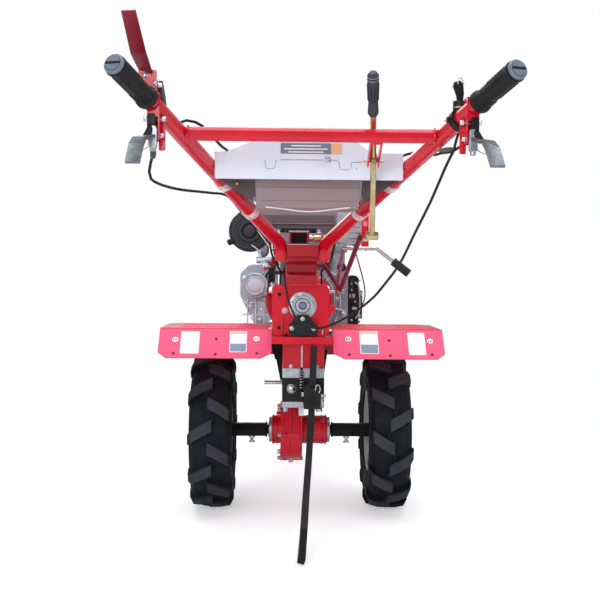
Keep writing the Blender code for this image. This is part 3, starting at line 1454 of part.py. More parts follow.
def shift():
    """Gear lever with its pin in a fork on the cross bar, its knob, and the link to the gear case."""
    top = at_handle(SHIFT_TOP_SHARES)
    pivot = at_handle(SHIFT_PIVOT_SHARES)
    low = at_handle(SHIFT_LOW_SHARES)
    link_top = at_handle(LINK_TOP_SHARES)
    elbow = Vector((link_top.x + LINK_RADIUS + 2 * SEAT, link_top.y, link_top.z))
    path = [elbow, elbow + X * LEVER_ROD_RADIUS, low, pivot, top]
    lever = sweep("shift_lever", path, round_section(LEVER_ROD_RADIUS, 12), Y)
    pin = rod("pin", pivot - X * PIVOT_PIN_LEFT, pivot + X * PIVOT_PIN_RIGHT, PIVOT_PIN_RADIUS, 10)
    node(join(lever, pin), "yellow_zinc")
    along = (top - pivot).normalized()
    profile = [(length * KNOB_LENGTH, radius * KNOB_RADIUS) for length, radius in KNOB_SHARES]
    node(turned("shift_knob", profile, top + along * SEAT, along, 16), "black_plastic")

    bar = cross_end()
    start = Vector((pivot.x, bar.y, bar.z))
    along = (pivot - start).normalized()
    end = pivot + along * FORK_OVERSHOOT
    middle = FORK_INSIDE + FORK_SHEET / 2
    section = flat_section(FORK_SHEET, FORK_HEIGHT)
    fork = sweep("shift_fork", [start - X * middle, end - X * middle], section, Z)
    other = sweep("cheek", [start + X * middle, end + X * middle], section, Z)
    bridge_end = start + along * (CROSS_RADIUS + FORK_BRIDGE)
    bridge = sweep("bridge", [start, bridge_end], flat_section(2 * middle, FORK_HEIGHT - FORK_SHEET), Z)
    join(fork, bridge, other)
    reach = FORK_INSIDE + FORK_SHEET + OVERRUN
    cut(fork, rod("room", start - X * reach, start + X * reach, CROSS_RADIUS + SEAT, 32))
    cut(fork, rod("hole", pivot - X * reach, pivot + X * reach, PIVOT_PIN_RADIUS + SEAT, 10))
    node(fork, "red_paint", smooth_angle=0)

    low = at_handle(LINK_LOW_SHARES)
    foot = at_handle(LINK_FOOT_SHARES)
    seat = Vector((POST_HALF + SEAT, foot.y, foot.z))
    start = link_top - (low - link_top).normalized() * LINK_OVERSHOOT
    link = sweep("shift_link", [start, low, foot, seat], round_section(LINK_RADIUS, 10), Z)
    node(link, "red_paint")


def range_control():
    """Cranked range lever from the side of the gear case, with its grip."""
    level = MAIN_HIGH - RANGE_HEIGHT_DROP
    path = [Vector((MAIN_RIGHT + SEAT, RANGE_Y, level))] + [at_handle(shares) for shares in RANGE_SHARES]
    lever = sweep("range_lever", path, round_section(RANGE_RADIUS, 10), RANGE_GUIDE)
    node(lever, "zinc")
    end = path[-1]
    along = (end - path[-2]).normalized()
    grip = rod("range_grip", end + along * SEAT, end + along * RANGE_GRIP_LENGTH, RANGE_GRIP_RADIUS, 14)
    node(grip, "black_plastic")


def tapered(name, start, table, reach, width, sheet, side=1, guide=Z):
    """A flat bar from a place through rows of outward, rearward, upward and width shares."""
    path = [start + Vector((out * side, -back, rise)) * reach for out, back, rise, _ in table]
    sections = [flat_section(row[3] * width, sheet) for row in table]
    return sweep(name, path, sections, guide)


def hand_controls(side_name, side):
    """Hanger under a grip with its hand lever; the left one also carries the clutch lever on top."""
    spot, along = on_tube(side, CONTROL_PLACE)
    inside = HANGER_HALF_X - HANGER_SHEET
    low = spot.z - HANGER_DROP
    hanger = box(
        "lever_hanger_" + side_name,
        (spot.x - HANGER_HALF_X, spot.y - HANGER_HALF_Y, low),
        (spot.x + HANGER_HALF_X, spot.y + HANGER_HALF_Y, spot.z + HANGER_RISE),
    )
    slot = box(
        "slot",
        (spot.x - inside, spot.y - HANGER_HALF_Y - OVERRUN, low - OVERRUN),
        (spot.x + inside, spot.y + HANGER_HALF_Y - HANGER_SHEET, spot.z - HANGER_SLOT_TOP),
    )
    if side < 0:
        left = spot.x - PERCH_SHIFT
        high = spot.z + PERCH_RISE
        perch = box(
            "perch",
            (left - PERCH_HALF_X, spot.y - PERCH_HALF_Y, spot.z),
            (left + PERCH_HALF_X, spot.y + PERCH_HALF_Y, high),
        )
        gap = box(
            "gap",
            (left - PERCH_SLOT_HALF, spot.y - PERCH_HALF_Y - OVERRUN, spot.z + PERCH_SLOT_LOW),
            (left + PERCH_SLOT_HALF, spot.y + PERCH_HALF_Y + OVERRUN, high + OVERRUN),
        )
        cut(perch, gap)
        join(hanger, perch)
    cut(hanger, slot, tube_room(side))
    pivot = spot - Z * HANGER_PIVOT_DROP
    shares = HAND_LEVER_SHARES
    lever = tapered(
        "hand_lever_" + side_name, pivot, shares, HAND_LEVER_REACH, HAND_BLADE_WIDTH, HAND_LEVER_SHEET, side
    )
    reach = HANGER_HALF_X + OVERRUN
    pin = rod("pin", pivot - X * reach, pivot + X * reach, PIVOT_PIN_RADIUS, 10)
    reach += OVERRUN
    cut(hanger, rod("hole", pivot - X * reach, pivot + X * reach, PIVOT_PIN_RADIUS + SEAT, 10))
    node(join(lever, pin), "bare_alloy")
    if side < 0:
        foot = spot - X * PERCH_SHIFT + Z * CLUTCH_FOOT_RISE
        clutch = tapered("clutch_lever", foot, CLUTCH_SHARES, CLUTCH_REACH, CLUTCH_WIDTH, CLUTCH_SHEET, side)
        pivot = foot + Z * CLUTCH_PIN_RISE
        reach = PERCH_HALF_X + OVERRUN
        pin = rod("pin", pivot - X * reach, pivot + X * reach, PIVOT_PIN_RADIUS, 10)
        reach += OVERRUN
        cut(hanger, rod("hole", pivot - X * reach, pivot + X * reach, PIVOT_PIN_RADIUS + SEAT, 10))
        node(join(clutch, pin), "red_paint", smooth_angle=0)
    node(hanger, "red_paint", smooth_angle=0)
    return spot


def throttle():
    """Thumb throttle: a ring on the right tube with a dial and its lever."""
    spot, along = on_tube(1, THROTTLE_PLACE)
    ring = rod("throttle", spot - along * THROTTLE_HALF, spot + along * THROTTLE_HALF, THROTTLE_RING, 24)
    top = spot + Z * THROTTLE_DIAL_HEIGHT
    join(ring, rod("dial", spot, top, THROTTLE_DIAL_RADIUS, 18))
    cut(ring, tube_room(1))
    start = top - Z * THROTTLE_SHEET
    thumb = tapered("thumb", start, THUMB_SHARES, THUMB_LENGTH, THUMB_WIDTH, THROTTLE_SHEET, guide=Y)
    node(join(ring, thumb), "black_plastic")
    across = along.cross(Z).normalized()
    outward = across if across.x > 0 else -across
    leave = spot + along * (THROTTLE_HALF + 2 * SEAT) + outward * (TUBE_RADIUS + CABLE_RADIUS + 4 * SEAT)
    return [leave, leave + along * CABLE_APPROACH]


def cables(hangers, throttle_exit):
    """The four control cables, each from its lever to the machine; both ends meet their piece squarely."""
    ahead = Y * CABLE_APPROACH
    above = Z * CABLE_LANDING
    end = Vector((THROTTLE_CABLE_END_X, CRANKCASE_REAR - SEAT, CRANKCASE_TOP - THROTTLE_CABLE_END_DROP))
    route = [at_handle(shares) for shares in THROTTLE_CABLE_SHARES]
    cable("cable_throttle", throttle_exit + route + [end - ahead, end])
    top = MAIN_HIGH + 2 * SEAT
    # Name, where it leaves: hanger, distance ahead of its middle and above it; route; where it ends: x, y
    low = CABLE_INSET - HANGER_DROP
    high = PERCH_RISE - CABLE_INSET
    runs = (
        ("cable_left", "left", HANGER_HALF_Y, low, LEFT_CABLE_SHARES, -CABLE_END_X, LEFT_CABLE_END_Y),
        ("cable_right", "right", HANGER_HALF_Y, low, RIGHT_CABLE_SHARES, CABLE_END_X, RIGHT_CABLE_END_Y),
        ("cable_clutch", "left", PERCH_HALF_Y, high, CLUTCH_CABLE_SHARES, -CABLE_END_X, CLUTCH_CABLE_END_Y),
    )
    for name, hanger, reach, rise, table, end_x, end_y in runs:
        start = hangers[hanger] + Y * (reach + 2 * SEAT) + Z * rise
        end = Vector((end_x, end_y, top))
        route = [at_handle(shares) for shares in table]
        cable(name, [start, start + ahead] + route + [end + 2 * above, end + above, end])


hangers = {}
for side_name, side in SIDES:
    tyre(side_name, side)
    rim(side_name, side)
    axle(side_name, side)
    fender(side_name, side)
    hangers[side_name] = hand_controls(side_name, side)
final_drive()
main_gearbox(column())
gusset()
stake()
fender_bar()
crankcase()
cylinder()
fan()
tank()
breathing()
bed()
bumper()
stand()
steering_frame()
console()
shift()
range_control()
cables(hangers, throttle())
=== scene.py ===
"""Looks of the walking tractor: materials, fine detail, floor, light and the photograph's camera.

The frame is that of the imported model, in metres: +y is the way the machine drives, +z is up, and the
origin lies on the ground in the middle of its length. The added pieces are laid out in millimetres from
the ground under the wheel axle, and Piece.make brings them into the frame.
"""

import json
import math

import bmesh
import bpy
from mathutils import Euler, Matrix, Vector


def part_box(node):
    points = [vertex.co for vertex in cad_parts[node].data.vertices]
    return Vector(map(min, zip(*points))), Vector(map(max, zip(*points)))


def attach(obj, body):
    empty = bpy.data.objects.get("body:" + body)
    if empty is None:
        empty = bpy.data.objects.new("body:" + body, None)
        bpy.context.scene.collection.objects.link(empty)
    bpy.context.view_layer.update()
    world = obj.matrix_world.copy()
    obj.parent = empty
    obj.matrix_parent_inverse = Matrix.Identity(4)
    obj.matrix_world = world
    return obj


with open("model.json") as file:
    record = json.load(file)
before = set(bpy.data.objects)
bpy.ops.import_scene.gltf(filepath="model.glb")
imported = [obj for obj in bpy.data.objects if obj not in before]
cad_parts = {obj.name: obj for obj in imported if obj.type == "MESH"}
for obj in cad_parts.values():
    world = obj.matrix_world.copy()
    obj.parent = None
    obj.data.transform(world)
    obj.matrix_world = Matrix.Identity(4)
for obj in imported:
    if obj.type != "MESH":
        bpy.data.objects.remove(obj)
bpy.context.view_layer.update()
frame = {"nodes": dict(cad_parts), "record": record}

# The wheel axle's place along y in this frame, and its height
AXLE_Y = 0.10625
AXLE_Z = 0.2075


def srgb(red, green, blue):
    """A colour picked in the photograph's 0 to 255 values, as linear light."""
    shares = [value / 255 for value in (red, green, blue)]
    linear = [share / 12.92 if share <= 0.04045 else ((share + 0.055) / 1.055) ** 2.4 for share in shares]
    return (*linear, 1)


class Finish:
    """A Principled material whose inputs are driven by a few procedural textures."""

    def __init__(self, name, colour, roughness, metallic=0.0):
        self.material = bpy.data.materials.new(name)
        self.material.use_nodes = True
        self.tree = self.material.node_tree
        self.shader = self.tree.nodes["Principled BSDF"]
        self.set("Base Color", colour)
        self.set("Roughness", roughness)
        self.set("Metallic", metallic)
        self.place = self.tree.nodes.new("ShaderNodeTexCoord").outputs["Object"]
        edge = self.tree.nodes.new("ShaderNodeBevel")
        edge.samples = 4
        edge.inputs["Radius"].default_value = 0.0012
        self.height = edge.outputs["Normal"]

    def set(self, socket, value):
        self.shader.inputs[socket].default_value = value
        return self

    def noise(self, scale, detail):
        """A noise between 0 and 1 in object space."""
        texture = self.tree.nodes.new("ShaderNodeTexNoise")
        texture.inputs["Scale"].default_value = scale
        texture.inputs["Detail"].default_value = detail
        self.tree.links.new(self.place, texture.inputs["Vector"])
        return texture.outputs["Fac"]

    def ramp(self, source, *stops):
        """Map a value through (position, colour) stops."""
        ramp = self.tree.nodes.new("ShaderNodeValToRGB")
        elements = ramp.color_ramp.elements
        while len(elements) < len(stops):
            elements.new(0.5)
        for element, (position, colour) in zip(elements, stops):
            element.position = position
            element.color = colour if len(colour) == 4 else (*colour, 1)
        self.tree.links.new(source, ramp.inputs["Fac"])
        return ramp.outputs["Color"]

    def combine(self, operation, one, two=None):
        """Vector math of an output with another output or with a constant, or its length."""
        node = self.tree.nodes.new("ShaderNodeVectorMath")
        node.operation = operation
        self.tree.links.new(one, node.inputs[0])
        if isinstance(two, tuple):
            node.inputs[1].default_value = two
        elif two is not None:
            self.tree.links.new(two, node.inputs[1])
        return node.outputs["Value" if operation == "LENGTH" else "Vector"]

    def vary_colour(self, scale, darker, lighter, spread=0.25):
        """Let the colour drift between two shades."""
        source = self.noise(scale, 4.0)
        self.link(self.ramp(source, (0.5 - spread, darker), (0.5 + spread, lighter)), "Base Color")
        return self

    def vary_roughness(self, scale, low, high):
        span = self.tree.nodes.new("ShaderNodeMapRange")
        span.inputs["From Min"].default_value = 0.3
        span.inputs["From Max"].default_value = 0.7
        span.inputs["To Min"].default_value = low
        span.inputs["To Max"].default_value = high
        self.tree.links.new(self.noise(scale, 4.0), span.inputs["Value"])
        self.link(span.outputs["Result"], "Roughness")
        return self

    def bump(self, source, distance):
        """Raise the surface by a value between 0 and 1 times a distance in metres."""
        node = self.tree.nodes.new("ShaderNodeBump")
        node.inputs["Distance"].default_value = distance
        self.tree.links.new(source, node.inputs["Height"])
        self.tree.links.new(self.height, node.inputs["Normal"])
        self.height = node.outputs["Normal"]
        self.link(self.height, "Normal")
        return self

    def link(self, output, socket):
        self.tree.links.new(output, self.shader.inputs[socket])


def shade(colour, factor):
    return (*[channel * factor for channel in colour[:3]], 1)


def glossy_red():
    """Oven-fired gloss enamel with faint orange peel and a slow drift of tone."""
    red = srgb(222, 0, 38)
    made = Finish("gloss_red", red, 0.24)
    made.set("Coat Weight", 0.3)
    made.set("Coat Roughness", 0.07)
    made.set("Specular IOR Level", 0.45)
    made.vary_colour(7, shade(red, 0.84), shade(red, 1.04))
    made.bump(made.noise(420, 2), 0.00012)
    made.bump(made.noise(26, 2), 0.0004)
    return made.material


def satin_black(name="satin_black", level=0.006, roughness=0.46):
    colour = (level, level, level * 1.1, 1)
    made = Finish(name, colour, roughness)
    made.set("Specular IOR Level", 0.32)
    made.vary_colour(30, shade(colour, 0.7), shade(colour, 1.5))
    made.vary_roughness(60, roughness - 0.08, roughness + 0.14)
    made.bump(made.noise(500, 3), 0.00015)
    return made.material


def tyre_rubber():
    """Near-black rubber, greyer and dustier on the lugs' tops."""
    ground = srgb(20, 23, 32)
    dusty = srgb(62, 62, 70)
    made = Finish("tyre_rubber", ground, 0.72)
    made.set("Specular IOR Level", 0.25)
    place = made.tree.nodes.new("ShaderNodeNewGeometry").outputs["Position"]
    from_axle = made.combine("SUBTRACT", place, (0, AXLE_Y, AXLE_Z))
    radius = made.combine("LENGTH", made.combine("MULTIPLY", from_axle, (0, 1, 1)))
    drift = made.ramp(made.noise(18, 4), (0.25, (0.6, 0.6, 0.6)), (0.75, (1.0, 1.0, 1.0)))
    # Ground colour up to the first radius, dusty from the second, in metres
    tone = made.ramp(radius, (0.1955, ground), (0.203, dusty))
    made.link(made.combine("MULTIPLY", tone, drift), "Base Color")
    made.vary_roughness(40, 0.6, 0.85)
    made.bump(made.noise(300, 4), 0.0003)
    return made.material


def cast_alloy(name="cast_alloy", tone=(196, 200, 206), roughness=0.38):
    """Sand-cast aluminium: a fine pebble in the surface and patches of duller, darker skin."""
    colour = srgb(*tone)
    made = Finish(name, colour, roughness, 0.85)
    made.vary_colour(90, shade(colour, 0.72), shade(colour, 1.08), spread=0.22)
    made.vary_roughness(35, roughness - 0.08, roughness + 0.16)
    made.bump(made.noise(700, 3), 0.0002)
    return made.material


def plated(name, tone, roughness=0.28):
    """Plated steel with drawn marks along its length."""
    colour = srgb(*tone)
    made = Finish(name, colour, roughness, 1.0)
    made.vary_colour(45, shade(colour, 0.7), shade(colour, 1.15))
    made.bump(made.noise(900, 2), 0.00006)
    return made.material


def sheet_paint(name, tone, roughness=0.4):
    colour = srgb(*tone)
    made = Finish(name, colour, roughness)
    made.vary_colour(6, shade(colour, 0.93), shade(colour, 1.03))
    made.bump(made.noise(300, 3), 0.0001)
    made.bump(made.noise(12, 2), 0.0006)
    return made.material


def film(name, tone, roughness=0.35, drift=0.05):
    """Printed film or moulded trim: an even colour with a slight mottle and a gloss that drifts."""
    colour = srgb(*tone)
    made = Finish(name, colour, roughness)
    made.vary_colour(60, shade(colour, 1 - drift), shade(colour, 1 + drift / 2))
    made.vary_roughness(90, roughness - 0.05, roughness + 0.08)
    made.bump(made.noise(600, 2), 0.00005)
    return made.material


def fender_red(name):
    """Sheet enamel of the fenders: red on the top plates, with pink on the sloping panels as a painted
    reflection of the bright room above.
    """
    pink = srgb(240, 58, 112)
    red = srgb(214, 18, 24)
    made = Finish(name, pink, 0.38)
    made.set("Coat Weight", 0.2)
    made.set("Coat Roughness", 0.12)
    made.set("Specular IOR Level", 0.4)
    facing = made.tree.nodes.new("ShaderNodeSeparateXYZ")
    made.tree.links.new(made.tree.nodes.new("ShaderNodeTexCoord").outputs["Normal"], facing.inputs[0])
    drift = made.ramp(made.noise(5, 4), (0.25, (0.9, 0.9, 0.9)), (0.75, (1.0, 1.0, 1.0)))
    # Painted reflection: surfaces that face less upward than the top plates get the pink
    tone = made.ramp(facing.outputs["Z"], (0.8, pink), (0.93, red))
    made.link(made.combine("MULTIPLY", tone, drift), "Base Color")
    made.bump(made.noise(380, 2), 0.00008)
    made.bump(made.noise(9, 2), 0.0008)
    return made.material


def strap_film(name):
    """Clear wrapping film, milky with age."""
    made = Finish(name, srgb(240, 220, 224), 0.3)
    made.vary_colour(80, srgb(214, 176, 184), srgb(252, 244, 246), spread=0.15)
    made.bump(made.noise(260, 3), 0.0004)
    return made.material


FINISHES = {
    "red_paint": glossy_red(),
    "black_paint": satin_black(),
    "tyre_rubber": tyre_rubber(),
    "grip_rubber": satin_black("grip_rubber", 0.009, 0.5),
    "black_plastic": satin_black("black_plastic", 0.01, 0.48),
    "bare_alloy": cast_alloy(),
    "rim_silver": sheet_paint("rim_silver", (190, 190, 192), 0.35),
    # The tank's grey is darkened to mauve: painted shade under the console, with a painted red reflection
    "grey_paint": sheet_paint("tank_grey", (112, 92, 98), 0.4),
    "zinc": plated("zinc", (205, 196, 198)),
    "yellow_zinc": plated("yellow_zinc", (214, 196, 150)),
    "pale_sheet": sheet_paint("pale_sheet", (232, 237, 252), 0.38),
    # The bin's mauve grey is the pale sheet darkened as painted shade, with a painted red reflection
    "bin_sheet": sheet_paint("bin_sheet", (160, 140, 142), 0.42),
    "muffler_steel": plated("muffler_steel", (196, 190, 196), 0.42),
}


# Finishes of added pieces: name, the record's slot that it belongs to, kind, and what the kind asks for
EXTRA_ROWS = (
    ("bolt_zinc", "zinc", plated, (216, 216, 222), 0.26),
    ("blued_steel", "zinc", plated, (150, 160, 186), 0.3),
    ("pink_alloy", "bare_alloy", cast_alloy, (232, 190, 196), 0.42),
    ("pale_alloy", "bare_alloy", cast_alloy, (206, 212, 222), 0.36),
    ("mauve_alloy", "bare_alloy", cast_alloy, (150, 132, 138), 0.45),
    ("case_alloy", "bare_alloy", cast_alloy, (168, 176, 188), 0.42),
    ("frost_alloy", "bare_alloy", sheet_paint, (196, 206, 226), 0.45),
    ("blade_alloy", "bare_alloy", cast_alloy, (128, 136, 144), 0.3),
    ("brass", "yellow_zinc", plated, (226, 180, 84), 0.3),
    ("label_white", "pale_sheet", film, (248, 248, 250)),
    ("label_grey", "pale_sheet", film, (150, 152, 160)),
    ("label_blue", "pale_sheet", film, (120, 138, 164)),
    ("label_slate", "pale_sheet", film, (122, 126, 150)),
    ("label_orange", "pale_sheet", film, (240, 186, 140)),
    ("seam_grey", "pale_sheet", film, (92, 96, 112), 0.6),
    ("shadow_black", "black_paint", film, (9, 9, 11), 0.7, 0.3),
    ("shadow_green", "black_plastic", film, (30, 44, 42), 0.5, 0.3),
    ("cleaner_grey", "black_plastic", film, (40, 43, 50), 0.55, 0.2),
    ("knob_grey", "black_plastic", film, (52, 57, 68), 0.5, 0.2),
    # Painted shade: the red paint darkened for the handle post and the head plate
    ("painted_shade_red", "red_paint", sheet_paint, (178, 0, 28), 0.3),
    ("deep_red", "red_paint", sheet_paint, (126, 0, 30), 0.34),
    ("maroon", "red_paint", sheet_paint, (104, 6, 40), 0.36),
    ("cap_blue", "black_plastic", film, (112, 126, 142), 0.4, 0.12),
    ("cap_grey", "black_plastic", film, (128, 132, 136), 0.4, 0.12),
    ("green_ferrule", "zinc", film, (74, 88, 82), 0.4, 0.2),
    # Painted shade: the skirts beside the bin are coloured dark grey for the shade there
    ("skirt_shade_grey", "bin_sheet", film, (86, 72, 74), 0.6, 0.2),
    ("guard_pink", "red_paint", film, (236, 120, 140), 0.4),
    ("strap_film", "pale_sheet", strap_film),
    ("fender_red", "red_paint", fender_red),
)
EXTRAS = {name: (kind(name, *settings), home) for name, home, kind, *settings in EXTRA_ROWS}
# Nodes whose finish differs from their slot's
OWN_FINISH = {
    "hand_lever_left": "blade_alloy",
    "hand_lever_right": "blade_alloy",
    "fender_left": "fender_red",
    "fender_right": "fender_red",
    "air_cleaner": "cleaner_grey",
    "crankcase": "case_alloy",
    "cylinder": "mauve_alloy",
    "shift_link": "maroon",
    "clutch_lever": "deep_red",
    "handle_post": "painted_shade_red",
    "head_plate": "painted_shade_red",
    "shift_knob": "knob_grey",
}

for entry in frame["record"]["subparts"]:
    shell = frame["nodes"][entry["node"]]
    own = OWN_FINISH.get(entry["node"])
    finish = EXTRAS[own][0] if own else FINISHES[entry["material_slot"]]
    for index in range(len(shell.material_slots)):
        shell.material_slots[index].material = finish


X = Vector((1, 0, 0))
Y = Vector((0, 1, 0))
Z = Vector((0, 0, 1))
SIDES = (("left", -1), ("right", 1))
# Middle of the wheel axle, in millimetres from the ground under it
HUB = Z * AXLE_Z * 1000


def circle(centre, radius, across, up, count):
    angles = [2 * math.pi * step / count for step in range(count)]
    return [centre + across * radius * math.cos(a) + up * radius * math.sin(a) for a in angles]


def spoke(degrees, across, up):
    """Unit arrow at an angle in the plane of two directions."""
    turn = math.radians(degrees)
    return across * math.cos(turn) + up * math.sin(turn)


def spokes(count, across, up, start=0.0):
    """Unit arrows at even steps of a full turn."""
    return [spoke(start + 360 * step / count, across, up) for step in range(count)]


def arc(centre, radius, across, up, start, end, parts):
    """Points along part of a circle, from one angle to another in degrees."""
    turns = [start + (end - start) * part / parts for part in range(parts + 1)]
    return [centre + spoke(turn, across, up) * radius for turn in turns]


def coil(start, axis, across, up, radius, turns, pitch, steps):
    """Points of a helix that begins about a place and climbs along an axis."""
    places = [start + axis * (pitch * step / steps) for step in range(turns * steps + 1)]
    return [place + spoke(360 * step / steps, across, up) * radius for step, place in enumerate(places)]


def square_to(axis):
    """Two directions square to an axis, the second as upright as it can be."""
    guide = Y if abs(axis.normalized().z) > 0.9 else Z
    across = axis.cross(guide).normalized()
    return across, across.cross(axis).normalized()


def smooth(points, parts=6):
    """A smooth curve through the points."""
    points = [Vector(point) for point in points]
    padded = [2 * points[0] - points[1]] + points + [2 * points[-1] - points[-2]]
    fine = []
    for a, b, c, d in zip(padded, padded[1:], padded[2:], padded[3:]):
        for part in range(parts):
            t = part / parts
            bend = 2 * a - 5 * b + 4 * c - d
            fine.append((2 * b + (c - a) * t + bend * t * t + (3 * b - a - 3 * c + d) * t**3) / 2)
    return fine + [points[-1]]


def rounded(low, high, radius, steps=4):
    """Outline of a rectangle with round corners."""
    corners = ((high[0], high[1], 0), (low[0], high[1], 1), (low[0], low[1], 2), (high[0], low[1], 3))
    outline = []
    for a, b, quarter in corners:
        centre = (a - radius if quarter in (0, 3) else a + radius, b - radius if quarter < 2 else b + radius)
        for step in range(steps + 1):
            turn = math.pi / 2 * (quarter + step / steps)
            outline.append((centre[0] + radius * math.cos(turn), centre[1] + radius * math.sin(turn)))
    return outline


class Piece:
    """Closed solids gathered into one mesh, in millimetres from the ground under the wheel axle."""

    # Edges that turn by more than these are shaded sharp and, where a piece asks for it, bevelled
    SHARP_TURN = math.radians(38)
    BEVEL_TURN = math.radians(40)

    def __init__(self):
        self.bm = bmesh.new()

    def loft(self, rings, closed=False):
        loops = [[self.bm.verts.new(point) for point in ring] for ring in rings]
        pairs = list(zip(loops, loops[1:]))
        made = []
        if closed:
            pairs.append((loops[-1], loops[0]))
        else:
            made.append(self.bm.faces.new(reversed(loops[0])))
            made.append(self.bm.faces.new(loops[-1]))
        for one, two in pairs:
            for index in range(len(one)):
                after = (index + 1) % len(one)
                made.append(self.bm.faces.new((one[index], one[after], two[after], two[index])))
        bmesh.ops.recalc_face_normals(self.bm, faces=made)
        return self

    def turned(self, profile, centre, axis, count):
        """Turn (distance along the axis, radius) pairs about the axis."""
        axis = Vector(axis).normalized()
        across, up = square_to(axis)
        centre = Vector(centre)
        rings = [circle(centre + axis * along, radius, across, up, count) for along, radius in profile]
        return self.loft(rings)

    def prism(self, outline, centre, across, up, low, high):
        """Extrude (a, b) pairs, laid out along two directions, along their cross product."""
        across = Vector(across)
        up = Vector(up)
        out = across.cross(up).normalized()
        centre = Vector(centre)
        rings = [[centre + across * a + up * b + out * level for a, b in outline] for level in (low, high)]
        return self.loft(rings)

    def block(self, low, high):
        outline = [(low[0], low[1]), (high[0], low[1]), (high[0], high[1]), (low[0], high[1])]
        return self.prism(outline, (0, 0, 0), X, Y, low[2], high[2])

    def brick(self, centre, a, b, c):
        """A block about its centre, by its half sizes."""
        x, y, z = centre
        return self.block((x - a, y - b, z - c), (x + a, y + b, z + c))

    def plate(self, low, high, corner, y, inner, outer):
        """A round-cornered plate that faces the rear: corners as x, z, and how far it spans back from y."""
        return self.prism(rounded(low, high, corner), (0, y, 0), X, Z, inner, outer)

    def tube(self, path, radius, count, closed=False):
        """A round bar along a path; the radius is one value or one for each point."""
        path = [Vector(point) for point in path]
        rings = []
        across = None
        last = len(path) - 1
        for index, point in enumerate(path):
            if closed:
                along = path[(index + 1) % len(path)] - path[index - 1]
            else:
                along = path[min(index + 1, last)] - path[max(index - 1, 0)]
            along.normalize()
            if across is None:
                across = square_to(along)[0]
            across = (across - along * across.dot(along)).normalized()
            size = radius[index] if isinstance(radius, list) else radius
            rings.append(circle(point, size, across, across.cross(along), count))
        return self.loft(rings, closed)

    def ring(self, centre, axis, radius, thickness, count, sides):
        """A torus; the thickness is half of its bar's."""
        across, up = square_to(Vector(axis))
        return self.tube(circle(Vector(centre), radius, across, up, count), thickness, sides, closed=True)

    def bolt(self, centre, axis, size, height=0.62, washer=1.5):
        """Washer and chamfered hexagon head on a face; the size is the distance across corners."""
        if washer:
            rim = size * washer / 2
            self.turned([(0, rim), (size * 0.1, rim), (size * 0.14, rim * 0.94)], centre, axis, 18)
        half = size / 2
        top = size * (height + 0.14)
        profile = [(size * 0.1, half), (top - size * 0.08, half), (top, half * 0.86)]
        return self.turned(profile, centre, axis, 6)

    def bolts(self, places, *shape):
        """The same bolt at several places."""
        for place in places:
            self.bolt(place, *shape)
        return self

    def knurls(self, foot, count, reach, height, radius):
        """Upright ridges round a cap."""
        for arrow in spokes(count, X, Y):
            self.tube([foot + arrow * reach + Z, foot + arrow * reach + Z * height], radius, 6)
        return self

    def dome(self, centre, axis, radius, height):
        """Round rivet or screw head."""
        turns = [math.pi / 2 * step / 5 for step in range(6)]
        profile = [(height * math.sin(t), max(radius * math.cos(t), radius * 0.05)) for t in turns]
        return self.turned([(-height * 0.3, radius)] + profile, centre, axis, 16)

    def make(self, name, finish, body="chassis", slot=None, bevel=0):
        """Turn the solids into a piece that rides on a body; the bevel is its width, if any."""
        material, home = EXTRAS[finish] if finish in EXTRAS else (FINISHES[finish], finish)
        mesh = bpy.data.meshes.new(name)
        self.bm.to_mesh(mesh)
        self.bm.free()
        mesh.transform(Matrix.Translation((0, AXLE_Y, 0)) @ Matrix.Scale(0.001, 4))
        mesh.materials.append(material)
        mesh.shade_smooth()
        mesh.set_sharp_from_angle(angle=self.SHARP_TURN)
        made = bpy.data.objects.new(name, mesh)
        bpy.context.scene.collection.objects.link(made)
        if bevel:
            edges = made.modifiers.new("edges", "BEVEL")
            edges.width = bevel / 1000
            edges.segments = 2
            edges.limit_method = "ANGLE"
            edges.angle_limit = self.BEVEL_TURN
        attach(made, body)


# Sloping rear panel of the fenders: its fold, the way down it, and its outward side
FOLD = Vector((0, -160, 491.2))
DOWN = Vector((0, -0.062, -0.07)).normalized()
PANEL_OUT = Vector((0, DOWN.z, -DOWN.y))

# Blank stickers: name, lowest and highest x, start and end down the panel, with a band or plain
STICKERS = (
    ("left_outer", -304.2, -257.2, 10, 80, False),
    ("left_inner", -181.5, -138, 9, 75, True),
    ("right_inner", 147, 193.2, 6, 77.5, True),
    ("right_outer", 268.5, 311.8, 10, 80.5, False),
)
STICKER_INSET = 2.2

# Fender bolts and open holes: x, distance down the panel
FENDER_BOLTS = ((-317.9, 36.9), (-114.1, 33.1), (117.6, 32.2), (324.5, 36.9))
FENDER_HOLES_LEFT = ((-215.6, 34.3), (-319.7, 80), (-215.6, 81.7), (-112.5, 78.3))
FENDER_HOLES_RIGHT = ((220.9, 35.3), (118.5, 80.5), (221.2, 82.9), (326.1, 79))


def on_panel(x, down, out=0):
    return FOLD + X * x + DOWN * down + PANEL_OUT * out


def panel_film(name, finish, low, high, corner, thickness):
    """A printed film on the panel; its corners are x and distance down."""
    film_sheet = Piece().prism(rounded(low, high, corner), on_panel(0, 0), X, DOWN, 0, -thickness)
    film_sheet.make(name, finish)


def stickers():
    """Blank films with a thin border, and on some a coloured band below and a strip above."""
    for name, left, right, start, end, banded in STICKERS:
        panel_film("sticker_" + name, "label_white", (left, start), (right, end), 3, 0.3)
        low = (left + STICKER_INSET, start + STICKER_INSET)
        high = (right - STICKER_INSET, end - STICKER_INSET)
        path = [on_panel(x, down, 0.3) for x, down in rounded(low, high, 2, 2)]
        Piece().tube(path, 0.28, 4, closed=True).make("sticker_border_" + name, "label_grey")
        if banded:
            split = start + (end - start) * 0.6
            panel_film("sticker_band_" + name, "label_blue", (low[0], split), high, 1.5, 0.5)
            strip_high = (high[0], low[1] + 7)
            panel_film("sticker_strip_" + name, "label_orange", low, strip_high, 1.5, 0.5)


